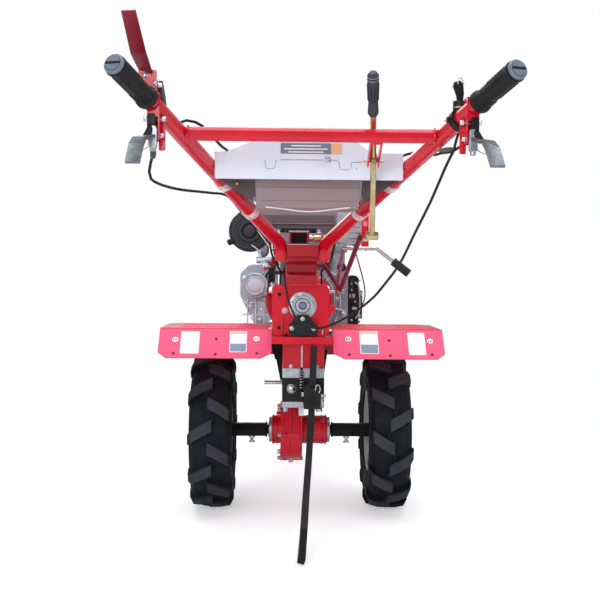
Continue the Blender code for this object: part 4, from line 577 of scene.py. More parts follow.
def fender_bolts():
    heads = Piece()
    for x, down in FENDER_BOLTS:
        spot = on_panel(x, down)
        heads.turned([(0, 7.8), (1, 7.6)], spot, PANEL_OUT, 20)
        heads.dome(spot + PANEL_OUT, PANEL_OUT, 5.6, 3.4)
        heads.bolt(spot - PANEL_OUT * 2.1, -PANEL_OUT, 10, 0.7, 0)
    heads.make("fender_bolts", "bolt_zinc")


def fender_holes():
    holes = Piece()
    rims = Piece()
    for x, down in FENDER_HOLES_LEFT + FENDER_HOLES_RIGHT:
        spot = on_panel(x, down)
        holes.turned([(0, 3.4), (0.3, 3.4)], spot, PANEL_OUT, 16)
        rims.ring(spot + PANEL_OUT * 0.2, PANEL_OUT, 3.7, 0.4, 20, 5)
    holes.make("fender_holes", "shadow_black")
    rims.make("fender_hole_rims", "fender_red")


def fender_folds():
    """Each fender's rounded fold, and two beads pressed up along its top plate."""
    edges = Piece()
    # Bars across a fender: y, z, lowest and highest distance from the middle, radius, count of sides
    rows = (
        (-160.2, 490.6, 82, 355, 1.4, 8),
        (-100, 490.8, 112, 310, 2.6, 10),
        (-10, 490.8, 112, 310, 2.6, 10),
    )
    for _, side in SIDES:
        for y, z, inner, outer, radius, count in rows:
            edges.tube([(side * inner, y, z), (side * outer, y, z)], radius, count)
    edges.make("fender_folds", "fender_red")


def gear_case_bolts():
    # Places on the left and the right face as y, z, and on the take-off cover as x, z
    left = ((-152, 488), (-152, 588), (-70, 590), (10, 588), (98, 583), (98, 494), (-70, 486))
    right = ((-145, 484.7), (-20, 486), (80, 486), (80, 590), (-20, 592))
    takeoff = ((1.4, 518.5), (-25.4, 494), (29.4, 494))
    bolts = Piece().bolts([(-75.1, y, z) for y, z in left], -X, 12.5)
    bolts.bolts([(69.1, y, z) for y, z in right], X, 12.5)
    bolts.bolts([(x, -194.4, z) for x, z in takeoff], -Y, 8.8, 0.55, 1.3)
    bolts.make("gear_case_bolts", "bolt_zinc", bevel=0.3)


def bearing_end():
    """Rings, recessed screws, seals and shaft end of the bearing cover."""
    centre = Vector((2, -184.3, 551))
    ring = Piece()
    ring.ring(centre + Y * 7.2, Y, 26.2, 0.9, 48, 6)
    ring.ring(centre + Y * 13.9, Y, 34.5, 1.2, 48, 6)
    screw = [(0, 3), (2.2, 2.9), (2.2, 1.6), (0.8, 1.4)]
    for degrees in (18, 54, 90, 126, 162):
        ring.turned(screw, centre + spoke(degrees, X, Z) * 29.6 + Y * 8.3, -Y, 14)
    ring.make("bearing_ring", "bolt_zinc")
    seals = Piece()
    seals.ring(centre + Y * 4.3, Y, 18.6, 1.1, 40, 6)
    seals.ring(centre + Y * 0.4, Y, 9.6, 0.9, 32, 6)
    seals.make("bearing_seals", "black_plastic")
    profile = [(-4, 8), (1.4, 8), (2.2, 7.2), (2.2, 3), (1, 2.4)]
    Piece().turned(profile, centre, -Y, 28).make("shaft_end", "blued_steel", bevel=0.3)


def level_plug():
    centre = Vector((-42.8, -166, 537.8))
    plug = Piece().turned([(0, 8.8), (6, 8.6), (7.2, 7.4)], centre, -Y, 20)
    plug.bolt(centre - Y * 6.8, -Y, 9.8, 0.45, 0)
    plug.make("level_plug", "pink_alloy", bevel=0.3)


def gear_case_ribs():
    """Bosses with dark holes, the lug on the right, ribs and the post's welds."""
    boss = Piece()
    dark = Piece()
    for z in (579, 494):
        profile = [(0, 9.8), (3, 9.2), (3, 5.2), (0.4, 4.8)]
        boss.turned(profile, (-56.7, -166, z), -Y, 24)
        dark.turned([(0, 5), (1.2, 5)], (-56.7, -166.2, z), -Y, 18)
    lug = [(0, 528), (13, 533), (17.2, 541), (15, 551), (0, 556)]
    boss.prism(lug, (68.5, -166, 0), X, Z, -16, 0)
    # Under the lug, on the left, on the neck, and on the post's weld
    boss.block((40, -173.8, 475.8), (46, -169, 530))
    boss.block((-53.5, -173.8, 475.8), (-47.5, -169, 520))
    boss.block((-47.5, -139.2, 389), (-1, -134, 453))
    boss.block((40, -139.2, 389), (60, -134, 453))
    boss.block((-11.5, -192.5, 605), (-8.5, -189, 626))
    for y, z, radius in ((-188.5, 603.5, 3), (-189, 627, 1.3)):
        boss.tube([(-37.5, y, z), (37.5, y, z)], radius, 8)
    boss.make("gear_case_ribs", "red_paint", bevel=0.8)
    dark.make("gear_case_holes", "shadow_black")
    # A raised rib on the neck in pale pink alloy: its colour is a painted highlight of the seam between the
    # castings
    rib = Piece().block((-0.8, -142.5, 390.5), (5, -134, 448))
    rib.make("neck_rib_highlight", "pink_alloy", bevel=0.8)


def breather_pin():
    pin = Piece().turned([(0, 2.2), (11, 2.2), (11.6, 1.6)], (52.7, -172, 478.6), Z, 12)
    pin.turned([(0, 3.2), (3, 3.2)], (52.7, -169.5, 484), -Y, 12)
    pin.make("breather_pin", "bolt_zinc")


def detent_tower():
    foot = Vector((-55.5, -31, 603.3))
    tower = Piece().turned([(0, 15.5), (4, 15.2), (10, 13.2), (25.5, 12.2)], foot, Z, 24)
    tower.turned([(34.5, 11.8), (68, 8.8), (76, 7)], foot, Z, 24)
    tower.make("detent_tower", "bare_alloy", bevel=0.5)
    collar = Piece().turned([(25, 13.2), (34.8, 13.2)], foot, Z, 24)
    collar.make("detent_collar", "black_plastic", bevel=0.8)


def column_bolts():
    """Hitch bolts, and the pins and nuts of the stake clamp."""
    steel = Piece()
    plug = Vector((-24.1, -140.2, 335.7))
    steel.dome(plug, -Y, 10.8, 5.5)
    steel.turned([(0, 12.2), (1, 12)], plug, -Y, 28)
    for x in (-26.3, 42):
        steel.bolt((x, -134.5, 388.5), Z, 16.5, 0.5, 1.15)
        steel.bolt((x, 35, 363.9), -Z, 16.5, 0.5, 1.15)
    steel.bolts([(x, -127, 286.7) for x in (-40.5, 48)], -Z, 16.5, 0.55, 1.1)
    # Cross pin of the stake clamp with its collars, the nut behind it, and the pin on the left
    steel.tube([(47, -217, 328.1), (60.6, -217, 328.1)], 3.6, 14)
    steel.turned([(0, 5.8), (3, 5.8), (3.6, 4.8)], (47.5, -217, 328.1), X, 18)
    steel.turned([(0, 6.2), (5.5, 6.2), (6.5, 4.8)], (5.5, -217, 331), -X, 18)
    steel.bolt((47.5, -164, 315), X, 12, 0.6)
    steel.tube([(-94, -112, 348.6), (-92, -112, 348.6)], 5.6, 12)
    steel.tube([(-47.8, -112, 348.6), (-93, -112, 348.6)], 4.7, 14)
    steel.make("column_bolts", "bolt_zinc", bevel=0.3)


def gusset_legs():
    legs = Piece()
    left = [(-70, 420), (-52, 332), (-40, 332), (-40, 420)]
    right = [(50, 420), (50, 332), (68, 332), (80, 420)]
    for outline in (left, right):
        legs.prism(outline, (0, 76.5, 0), X, Z, -6, 0)
    legs.make("gusset_legs", "black_paint", bevel=1)


def stake_spring():
    """Coil spring over a rod in front of the stake, with the plate that it stands on."""
    foot = Vector((1, -148.3, 331))
    path = coil(foot + Z * 4, Z, X, Y, 5.8, turns=7, pitch=7.2, steps=14)
    Piece().tube(path, 1.2, 6).make("stake_spring", "bolt_zinc")
    keeper = Piece().turned([(0, 3), (60, 3)], foot, Z, 12)
    keeper.block((-6, -156, 329), (5.5, -140.2, 331.8))
    keeper.make("spring_keeper", "black_paint", bevel=0.4)


def stake_clamp_parts():
    """Ring clip, brackets and jaw at the stake clamp."""
    path = [(33, -243.5, 344), (35, -244, 355.5), (39.5, -244, 358.5)]
    path += [(44, -244, 354), (45, -243.5, 345), (42, -242.8, 338.5)]
    Piece().tube(smooth(path), 1.3, 8).make("ring_clip", "bolt_zinc")
    plates = Piece().block((47.8, -223, 304), (53, -199, 321.5))
    plates.block((-4, -105, 260.5), (8.5, -101, 286.6))
    plates.make("column_brackets", "pale_sheet", bevel=0.6)
    jaw = Piece().block((5.5, -244, 308), (47.5, -242.1, 313))
    profile = [(0, 7), (4, 7), (4, 4), (2, 3.6)]
    jaw.turned(profile, (26.5, -242.1, 324), -Y, 20)
    jaw.make("clamp_jaw", "black_paint", bevel=0.6)


def final_drive():
    """Ears and bolts round the lower case's side cover, its drain plug, seam, ribs and collars."""
    ears = Piece()
    heads = Piece()
    for degrees in (-2, -40, -78, -116, -154, 182):
        spot = HUB + spoke(degrees, -Y, Z) * 76.2 - X * 50.5
        ears.turned([(0, 7.6), (16.5, 7.6)], spot, X, 18)
        heads.bolt(spot, -X, 11.5, 0.6, 1.25)
    heads.bolts([(-51.1, y, 266) for y in (-40, 40)], -X, 11.5, 0.6, 1.25)
    heads.turned([(0, 8), (4, 7.8)], (-22, 0, 128.4), -Z, 18)
    heads.bolt((-22, 0, 124.8), -Z, 11.5, 0.5, 0)
    heads.make("final_drive_bolts", "bolt_zinc", bevel=0.3)
    seam_radius = 80.3
    for x in (-25.5, 4):
        seam = arc(HUB + X * x, seam_radius, Y, Z, 180, 360, 24)
        ears.tube([(x, -seam_radius, 280)] + seam, 2.4, 8)
    for _, side in SIDES:
        for along, radius in ((21.5, 38.8), (60, 39.2), (70.5, 39.5)):
            ears.ring(HUB + X * side * along, X, radius, 1.6, 40, 8)
    ears.turned([(0, 10), (12, 9)], (-50, -20, 250), -X, 20)
    ears.make("final_drive_ribs", "red_paint", bevel=0.6)
    seals = Piece()
    for _, side in SIDES:
        profile = [(0, 21.5), (1.6, 21.5), (2.2, 15)]
        seals.turned(profile, HUB + X * side * 81.8, X * side, 28)
    seals.make("output_seals", "black_plastic")


def wheel_bolts(name, side):
    """Hub bolts of a wheel, and the lock bolt and cross pin of its axle."""
    out = X * side
    steel = Piece()
    for arrow in spokes(5, Y, Z, 18):
        steel.bolt(HUB + arrow * 36.5 + out * 231, out, 16.5, 0.55)
        steel.bolt(HUB + arrow * 36.5 + out * 218.4, -out, 15, 0.45, 1.2)
    lock = HUB + out * 128
    steel.turned([(16.5, 8.2), (22, 8.2), (22.8, 7)], lock, -Z, 6)
    steel.turned([(22.5, 4.6), (31.2, 4.6)], lock, -Z, 14)
    steel.turned([(30.8, 8.5), (35.2, 8.5), (35.8, 7.2)], lock, -Z, 6)
    steel.tube([out * 254.5 + Z * 230, out * 254.5 + Z * 185], 3.2, 10)
    steel.make("wheel_bolts_" + name, "bolt_zinc", "wheel_" + name, bevel=0.3)


def axle_collars(name, side):
    """Hexagonal collars of an axle and the valve of its wheel."""
    out = X * side
    dark = Piece()
    dark.turned([(0, 22.2), (4.2, 22.2)], HUB + out * 87, out, 6)
    dark.turned([(0, 22.8), (6, 22.8)], HUB + out * 202, out, 6)
    valve = HUB + out * 234.5 - Z * 88
    dark.turned([(0, 5.2), (7, 4.6), (20, 3), (26, 3)], valve, out, 14)
    dark.make("axle_collars_" + name, "black_paint", "wheel_" + name, bevel=0.4)


def tyre_mouldings(name, side):
    """Rings moulded on a tyre's walls, and short wear bars between the lugs along its crown."""
    middle = HUB + X * side * 231.5
    # Rings: distance from the tyre's middle, radius and thickness
    rows = ((49, 115.2, 1.5), (53.3, 134.5, 1), (54.9, 150, 1))
    rubber = Piece()
    for half in (-1, 1):
        for along, radius, thickness in rows:
            rubber.ring(middle + X * half * along, X, radius, thickness, 64, 6)
    bars = 22
    corners = ((-1, -1), (1, -1), (1, 1), (-1, 1))
    for step in range(bars):
        turn = 2 * math.pi * (step + 0.5) / bars + 0.05
        outward = Vector((0, math.sin(turn), math.cos(turn)))
        across = Vector((0, math.cos(turn), -math.sin(turn)))
        centre = middle + X * (9 if step % 2 else -9)
        rings = []
        for level, half_x, half_y in ((188, 4, 19), (195.8, 3, 16.5)):
            spot = centre + outward * level
            rings.append([spot + X * a * half_x + across * b * half_y for a, b in corners])
        rubber.loft(rings)
    rubber.make("tyre_mouldings_" + name, "tyre_rubber", "wheel_" + name, bevel=0.7)


def wheels():
    for name, side in SIDES:
        wheel_bolts(name, side)
        axle_collars(name, side)
        tyre_mouldings(name, side)


# Middle line of the right handle tube: its knee, its bend and the grip's end
KNEE = Vector((54.5, -196, 704))
BEND = Vector((275, -840, 925))
GRIP_END = Vector((335, -1000, 980))


def handle_welds():
    welds = Piece()
    for _, side in SIDES:
        mirror = Vector((side, 1, 1))
        welds.ring((side * 234.5, -766, 899.6), X, 14, 2.6, 24, 8)
        welds.turned([(0, 11.2), (3, 10)], (KNEE.lerp(BEND, 0.62) + Z * 14.5) * mirror, Z, 18)
        welds.ring(Vector((side * 54.5, -192.5, 693)), Vector((0, -0.25, 1)), 16.5, 1.6, 24, 8)
    welds.make("handle_welds", "red_paint")


def cable_straps():
    """Wrapping film wound seven times round the tubes, with a knot beside the cable."""
    along = (BEND - KNEE).normalized()
    straps = Piece()
    for _, side in SIDES:
        mirror = Vector((side, 1, 1))
        for share in (0.325, 0.56):
            spot = KNEE.lerp(BEND, share)
            path = circle(spot, 16.8, *square_to(along), 28)
            for turn in range(-3, 4):
                winding = [(point + along * turn * 3.2) * mirror for point in path]
                straps.tube(winding, 2.1, 6, closed=True)
            straps.brick((spot + Vector((6, -12, 14))) * mirror, 6, 5, 3)
    straps.make("cable_straps", "strap_film")


def grip_ribs(name, end, tip):
    """Three wavy finger ribs, lengthwise flutes and the end bead of a grip."""
    across, up = square_to(tip)
    ribs = Piece()
    for place in (86, 94, 102):
        path = []
        for step in range(13):
            turn = math.radians(-150 + 10 * step)
            outward = across * math.cos(turn) + up * math.sin(turn)
            path.append(end - tip * (place + 4 * math.sin(turn * 2)) + outward * 17.8)
        ribs.tube(path, [0.6] + [1.7] * 11 + [0.6], 8)
    for outward in spokes(14, across, up):
        ribs.tube([end - tip * 18 + outward * 18.2, end - tip * 74 + outward * 17.8], 0.9, 6)
    ribs.ring(end - tip * 6, tip, 18.6, 1.2, 32, 8)
    ribs.make("grip_ribs_" + name, "grip_rubber")


def grip_cap(name, end, tip):
    """Round cap with a dark slot between its two raised halves."""
    across, up = square_to(tip)
    face = end + tip * 5.5
    cap = Piece().turned([(-1, 18.4), (3, 18), (5.8, 15.5), (5.8, 13)], end, tip, 32)
    for half in (-1, 1):
        outline = []
        for step in range(13):
            turn = math.pi * (0.06 + 0.88 * step / 12)
            outline.append((13.4 * math.cos(turn), half * max(13.4 * math.sin(turn), 2.2)))
        cap.prism(outline, face, across, up, 0, -1.8)
    cap.make("grip_cap_" + name, "cap_blue", bevel=0.5)
    slot = Piece().turned([(0, 13.2), (0.7, 13.2)], face, tip, 28)
    slot.make("grip_slot_" + name, "shadow_black")


def grips():
    for name, side in SIDES:
        mirror = Vector((side, 1, 1))
        end = GRIP_END * mirror
        tip = (end - BEND * mirror).normalized()
        grip_ribs(name, end, tip)
        grip_cap(name, end, tip)


CONSOLE_REAR = -650.2


def console_seams():
    """Seams of the cover's folded tabs, and a small hole beside them."""
    seams = Piece()
    # Straight seams: lowest and highest x, z
    for low, high, z in ((-58.9, 28.5, 864.8), (44.1, 59, 864.8), (89.5, 110, 861.1)):
        seams.block((low, CONSOLE_REAR - 0.3, z), (high, CONSOLE_REAR + 1, z + 0.8))
    for left, right, low, high in ((-89, -68.5, 846.7, 864), (61, 85.4, 846.3, 861.5)):
        corners = ((left - 4, high), (left, high), (left, low + 5), (left + 4, low))
        corners += ((right - 4, low), (right, low + 5), (right, high), (right + 4, high))
        seams.tube([(x, CONSOLE_REAR, z) for x, z in corners], 0.42, 6)
    seams.turned([(0, 1.3), (0.4, 1.3)], (96, CONSOLE_REAR, 848), -Y, 10)
    seams.make("console_seams", "seam_grey")


def console_edges():
    """Rolled edges round the pale cover and stiffening beads along it."""
    edges = Piece().tube([(-189, -649, 827.2), (189, -649, 827.2)], 1.6, 8)
    for _, side in SIDES:
        edges.tube([(side * 189.7, -649, 827.2), (side * 189.7, -649, 876.5)], 1.6, 8)
    fold = [(-190.5, 879), (-167.6, 879), (-95.6, 909), (85.6, 909), (125.5, 879), (190.5, 879)]
    edges.tube([(x, -648.8, z) for x, z in fold], 1.6, 8)
    for x in (-60, 50):
        edges.tube([(x, -630, 906.3), (x * 0.8, -430, 837.5)], 3.2, 10)
    edges.make("console_edges", "pale_sheet")


def console_label():
    """Blank label with blank bars, and the coloured tag beside it."""
    label = Piece().plate((-58.1, 877.5), (44.1, 899), 1.5, CONSOLE_REAR, 0, 0.5)
    label.make("console_label", "label_slate")
    stripes = Piece()
    for z, half in ((893.5, 30), (887.2, 44), (881, 36)):
        low = (-7 - half, z - 1.2)
        high = (-7 + half, z + 1.2)
        stripes.plate(low, high, 0.6, CONSOLE_REAR, 0, 0.8)
    stripes.make("console_label_stripes", "label_white")
    tag = Piece().plate((45, 877.5), (66.5, 899), 1.5, CONSOLE_REAR, 0, 0.5)
    tag.make("console_tag", "label_orange")


def console_fasteners():
    """Clip on the cover's lip, rivets on its top and the brass rivet below it."""
    clip = Piece().plate((29, 861), (43.5, 867), 1.4, CONSOLE_REAR, 0, 2.8)
    clip.plate((30, 866), (42.5, 872), 2.6, CONSOLE_REAR, 0, 5)
    clip.turned([(0, 2.2), (3, 2)], (36.2, CONSOLE_REAR - 4, 864), -Y, 12)
    clip.make("console_clip", "bolt_zinc", bevel=0.4)
    rivets = Piece()
    for _, side in SIDES:
        for x, y, z in ((182, -630, 878.2), (150, -440, 812.5)):
            rivets.dome((side * x, y, z), Vector((0, -0.32, 1)), 4.2, 2.2)
    rivets.make("console_rivets", "bolt_zinc")
    place = (-147, -619, 819)
    brass = Piece().dome(place, -Y, 3.2, 2.2)
    brass.turned([(-12, 2), (0, 2)], place, -Y, 8)
    brass.make("brass_rivet", "brass")


def bin_trim():
    """Skirts between the bin and the tubes in painted shade, a white strip on its lower lip as a painted
    highlight, and its two beads.
    """
    skirts = Piece()
    corners = ((187, 829), (112, 829), (110, 795), (118, 786), (156, 809))
    for _, side in SIDES:
        skirts.prism([(side * x, z) for x, z in corners], (0, -602, 0), X, Z, 0, 1.5)
    skirts.make("console_skirts", "skirt_shade_grey")
    # Painted highlight: a white strip that sags along the bin's lower lip stands in for its lit edge
    points = []
    for step in range(15):
        share = step / 14
        sag = 7.5 * math.sin(math.pi * share) - math.sin(9 * share)
        points.append((-88 + 176 * share, -603.5, 772.2 - sag))
    Piece().tube(smooth(points, 3), 1.5, 8).make("bin_lip_highlight", "label_white")
    beads = Piece()
    for z in (785, 813):
        half = 100 + 0.13 * (z - 785)
        beads.tube([(-half - 1.5, -600.3, z), (half - 1.5, -600.3, z)], 0.9, 6)
    beads.make("bin_beads", "bin_sheet")


# Distance of the hand levers' hangers from the middle, and the foot of the throttle
HANGER_X = 285.6
THROTTLE = Vector((271.5, -830.7, 921.8))


def control_bolts():
    """Bolts, adjusters and return wires of the hand levers, the clevis and the throttle."""
    steel = Piece()
    for _, side in SIDES:
        x = side * HANGER_X
        steel.tube([(x - 20, -862, 911.8), (x + 20, -862, 911.8)], 2.6, 10)
        for end in (-1, 1):
            steel.bolt((x + end * 12.8, -862, 911.8), X * end, 9.8, 0.6, 1.2)
            steel.bolt((x + end * 11.3, -868.1, 881), X * end, 8.8, 0.5, 1.2)
        adjuster = [(0, 4.2), (9, 4.2), (9, 5.6), (13, 5.6)]
        steel.turned(adjuster, (x, -850, 881.1), Y, 12)
        # Return wire along the blade: distance out from the hanger, y, z
        wire = ((0, -870, 872), (10, -895, 856), (18, -935, 846), (19.3, -960, 837))
        steel.tube(smooth([(x + side * out, y, z) for out, y, z in wire]), 0.9, 6)
    # On the clutch lever's clevis
    steel.dome((-300, -880.5, 986.2), -Y, 5.2, 3.4)
    steel.dome((-283, -880.5, 971.5), -Y, 4.6, 3)
    steel.bolt((-279, -868.1, 971), X, 9, 0.6, 1.2)
    # Split clamp ring of the throttle with its screws, and a zinc bead along the leaf's edge as a painted
    # highlight
    steel.ring(THROTTLE + Z * 21.5, Z, 13.6, 1.1, 24, 6)
    steel.dome(THROTTLE + Z * 34, Z, 5, 2.6)
    steel.bolt(THROTTLE - X * 25, -X, 7, 0.5, 0)
    leaf = [(276, -844, 986), (270, -847, 996), (265.5, -848.5, 993), (264, -847, 984)]
    steel.tube(smooth(leaf), 1.1, 6)
    steel.make("control_bolts", "bolt_zinc")


def control_plates():
    """Strip beside each hanger, and the clutch lever's clevis."""
    red = Piece()
    for _, side in SIDES:
        inner = side * (HANGER_X - 12.5)
        red.plate((inner - 6, 856), (inner + 6, 919), 3, -856, -2.5, 0)
    red.plate((-313, 963), (-280, 996), 4, -879, -1, 1.8)
    red.make("control_plates", "red_paint", bevel=0.5)


def control_arms():
    """Short dark arm behind each hand lever, and the throttle's side tab."""
    dark = Piece()
    for _, side in SIDES:
        x = side * (HANGER_X + 3)
        dark.plate((x - 7, 890), (x + 7, 918), 3, -887, -4, 4)
        dark.tube([(x, -887, 895), (x + side * 8, -905, 873)], 6, 10)
    tab = rounded((-5, -5), (5, 5), 2)
    dark.prism(tab, THROTTLE - X * 21.5, Y, Z, -3, 4)
    dark.make("control_arms", "black_paint", bevel=0.6)


def control_lugs():
    """Alloy lug of each hand lever with its adjuster."""
    alloy = Piece()
    for _, side in SIDES:
        x = side * HANGER_X
        alloy.plate((x - 7.5, 856), (x + 7.5, 896), 5, -888, -6, 6)
        alloy.turned([(0, 6), (12, 5.6), (13.5, 4)], (x, -887, 863), -Z, 16)
    alloy.make("control_lugs", "bare_alloy", bevel=0.8)


def cable_ferrules():
    """Sleeves on the clutch cable, the throttle cable and the left hand lever's cable."""
    green = Piece()
    clutch = [(-276.5, -854, 981), (-272.5, -856, 950), (-270, -844, 929)]
    green.tube(clutch, [4.4, 6, 4.8], 12)
    throttle = [(256, -832, 868), (248, -810, 869), (242, -788, 870.5)]
    green.tube(throttle, [4, 4.4, 3.4], 12)
    sleeve = [(0, 4.2), (2, 5.4), (12, 5.4), (15, 4.2)]
    green.turned(sleeve, (-291.5, -826.2, 860.5), Vector((-0.16, 0, -0.98)), 12)
    green.turned([(0, 5), (10, 5), (12, 3.6)], (-HANGER_X, -887, 850), -Z, 12)
    green.make("cable_ferrules", "green_ferrule", bevel=0.3)


def gear_lever():
    """Nut and washer at the fork, elbow of the rod, and the knob's rings and flutes."""
    pivot = Vector((125.8, -695.8, 858.7))
    top = Vector((117, -772.8, 937.9))
    elbow = Vector((138.1, -557.7, 716.3))
    lean = Vector((0, -1, 0.3))
    nut = Piece()
    foot = pivot + Z * 3 - Y * 4
    nut.turned([(-2.5, 7.8), (7.5, 7.8), (8.5, 6.8)], foot - Y, lean, 6)
    nut.turned([(0, 9.8), (1.2, 9.6)], foot, lean, 20)
    nut.turned([(-12, 8.8), (13, 8.8), (14.5, 7)], elbow - X, X, 20)
    nut.bolt((116, -560, 716.3), -X, 13, 0.5, 0)
    nut.make("lever_nuts", "yellow_zinc", bevel=0.3)
    along = (top - pivot).normalized()
    rings = Piece()
    for place in (80, 86.5):
        rings.ring(top + along * place, along, 10.8, 0.8, 28, 6)
    rings.make("knob_rings", "label_grey")
    flutes = Piece()
    for outward in spokes(10, *square_to(along)):
        flutes.tube([top + along * 34 + outward * 9.8, top + along * 70 + outward * 10.9], 1, 6)
    flutes.make("knob_flutes", "black_plastic")
    pins = Piece()
    for end, place in ((-1, 20), (1, 19.5)):
        pins.turned([(0, 4), (1.8, 4), (2.4, 3)], pivot + X * end * place, X * end, 14)
    pins.make("lever_pins", "bolt_zinc")


def starter():
    """Face, rings and two long screws of the starter at the left rear of the engine."""
    front = 118.8
    centre = Vector((-126, front + 1.2, 595))
    screws = ((-156, 618), (-96.2, 572))
    face = [(0, 26.2), (1.2, 25.6), (1.2, 23), (0.4, 22.2)]
    disc = Piece().turned(face, centre, -Y, 36)
    disc.ring(centre + Y * 7, Y, 33.8, 2.2, 40, 8)
    disc.turned([(0, 36.2), (10, 36.2)], centre + Y * 28, Y, 40)
    for x, z in screws:
        disc.turned([(0, 6), (40, 6)], (x, front + 30, z), Y, 16)
    disc.make("starter_face", "pale_alloy", bevel=0.5)
    inner = Piece().turned([(0, 21.8), (0.6, 21), (0.9, 8)], centre - Y * 0.3, -Y, 32)
    inner.make("starter_disc", "frost_alloy")
    bolts = Piece().bolts([(x, front + 30, z) for x, z in screws], -Y, 9.5, 0.6, 1.2)
    # On the timing case: x, z
    case = ((-139.4, 534.5), (-108, 526), (-133, 504), (-112, 496), (-150, 478))
    bolts.bolts([(x, 193.5, z) for x, z in case], -Y, 11.5, 0.65)
    bolts.bolt((-96, 192.5, 652), -Y, 11, 0.6)
    bolts.make("engine_bolts_left", "bolt_zinc", bevel=0.3)


def timing_case():
    """Ribs of the timing case, the solenoid on top of it, a painted strip and a dark shield."""
    ribs = Piece()
    for x in (-148, -124, -100):
        ribs.block((x - 2, 187, 470), (x + 2, 194.5, 556))
    ribs.block((-164, 188, 508), (-78, 194.5, 512))
    ribs.block((-162, 187, 543), (-78, 194.5, 548))
    # Horizontal solenoid with its bracket and its upright pin
    ribs.turned([(0, 8.5), (4, 9.5), (40, 9.5), (44, 8)], (-124, 204, 668), X, 20)
    ribs.block((-112, 196, 652), (-94, 212, 664))
    ribs.turned([(0, 3.6), (34, 3.6), (35, 2.6)], (-112.6, 204, 668), Z, 14)
    ribs.make("timing_ribs", "pale_alloy", bevel=0.8)
    strip = Piece().plate((-103, 592), (-90, 650), 3, 193.8, 0, 3)
    strip.make("timing_strip", "red_paint", bevel=0.5)
    shield = Piece().plate((-88.5, 556), (-70, 648), 4, 193.6, -0.4, 6)
    edge = [(-74, 186, 645), (-72, 178, 620), (-76, 180, 590), (-84, 188, 560)]
    shield.tube(smooth(edge), 3.5, 10)
    shield.make("timing_shield", "black_plastic", bevel=0.8)


def air_cleaner():
    """Rings, spokes and clips of the air cleaner's cap, its nozzle and the rods at it."""
    middle = Vector((-144, 185, 752))
    cleaner = Piece()
    # Rings on the cap: distance ahead of its face, radius, thickness, count of points
    rings = ((12, 58, 2.6, 48), (4.5, 42, 1.6, 40), (2, 30, 1.4, 36))
    for along, radius, thickness, count in rings:
        cleaner.ring(middle + Y * along, Y, radius, thickness, count, 8)
    cleaner.turned([(-6.5, 17), (1.5, 16.5), (3, 14)], middle, -Y, 28)
    for outward in spokes(12, X, Z):
        ends = [middle + Y * 6 + outward * 44, middle + Y * 8.5 + outward * 54.5]
        cleaner.tube(ends, 1.8, 6)
    for along in (38, 58, 78, 98):
        cleaner.ring(middle + Y * along, Y, 57.5, 1.8, 48, 6)
    clip = rounded((-6, 0), (6, 30), 3)
    for degrees in (215, 20, 120):
        foot = middle + spoke(degrees, X, Z) * 57.5 + Y * 10
        cleaner.prism(clip, foot, spoke(degrees, Z, -X), Y, -4, 4)
    cleaner.make("cleaner_ribs", "cleaner_grey", bevel=0.4)
    lean = Vector((-0.92, 0, -0.38))
    nozzle = Piece().turned([(0, 9), (16, 9), (18, 7.5)], (-190, 196, 724), lean, 18)
    nozzle.make("cleaner_nozzle", "black_plastic", bevel=0.5)
    tip = Piece().turned([(0, 6.6), (1.4, 6)], (-206.5, 196, 717.2), lean, 18)
    tip.make("cleaner_nozzle_tip", "label_grey")
    long_rod = [(-150, 189, 793), (-84, 176, 704), (-80, 190, 698), (-73, 246, 696)]
    rods = Piece().tube(long_rod, 1.9, 8)
    rods.tube([(-138, 189, 712), (-112, 184, 692), (-105, 204, 670)], 1.6, 8)
    rods.turned([(0, 3.5), (3, 3.2)], (-150, 185.5, 793), -Y, 12)
    rods.make("governor_rods", "bolt_zinc")


def carburettor():
    """Carburettor between the air cleaner and the head, with its bowl and fuel hose."""
    body = Piece().plate((-125, 712), (-86, 760), 8, 252, -36, 0)
    body.turned([(0, 17), (22, 17), (30, 12), (34, 5)], (-105, 270, 712), -Z, 24)
    body.block((-86, 250, 716), (-74.5, 290, 756))
    body.make("carburettor", "pale_alloy", bevel=1)
    path = [(-105, 288, 740), (-108, 315, 738), (-110, 360, 730), (-108, 410, 730)]
    hose = Piece().tube(smooth(path + [(-106, 450, 746)]), 4.2, 10)
    hose.make("fuel_hose", "black_plastic")


def fillers():
    """Knurled oil filler cap on its clamp, and the dipstick's ring."""
    foot = Vector((113, 218.3, 692))
    cap = Piece().turned([(0, 26.2), (12, 26.8), (20, 24), (23, 18)], foot, Z, 28)
    cap.knurls(foot, 14, 26.2, 16, 2.2)
    cap.block((87, 210, 696), (139, 226.6, 720))
    cap.make("filler_cap", "cap_grey", bevel=0.8)
    clamp = Piece().block((85, 199, 695), (99, 206, 712))
    clamp.make("filler_clamp", "yellow_zinc", bevel=1)
    knob = Piece().ring((124, 193, 649), Y, 9.8, 3.6, 28, 10)
    knob.turned([(0, 6), (6, 5)], (124, 196, 649), -Y, 18)
    knob.make("dipstick_ring", "black_plastic")


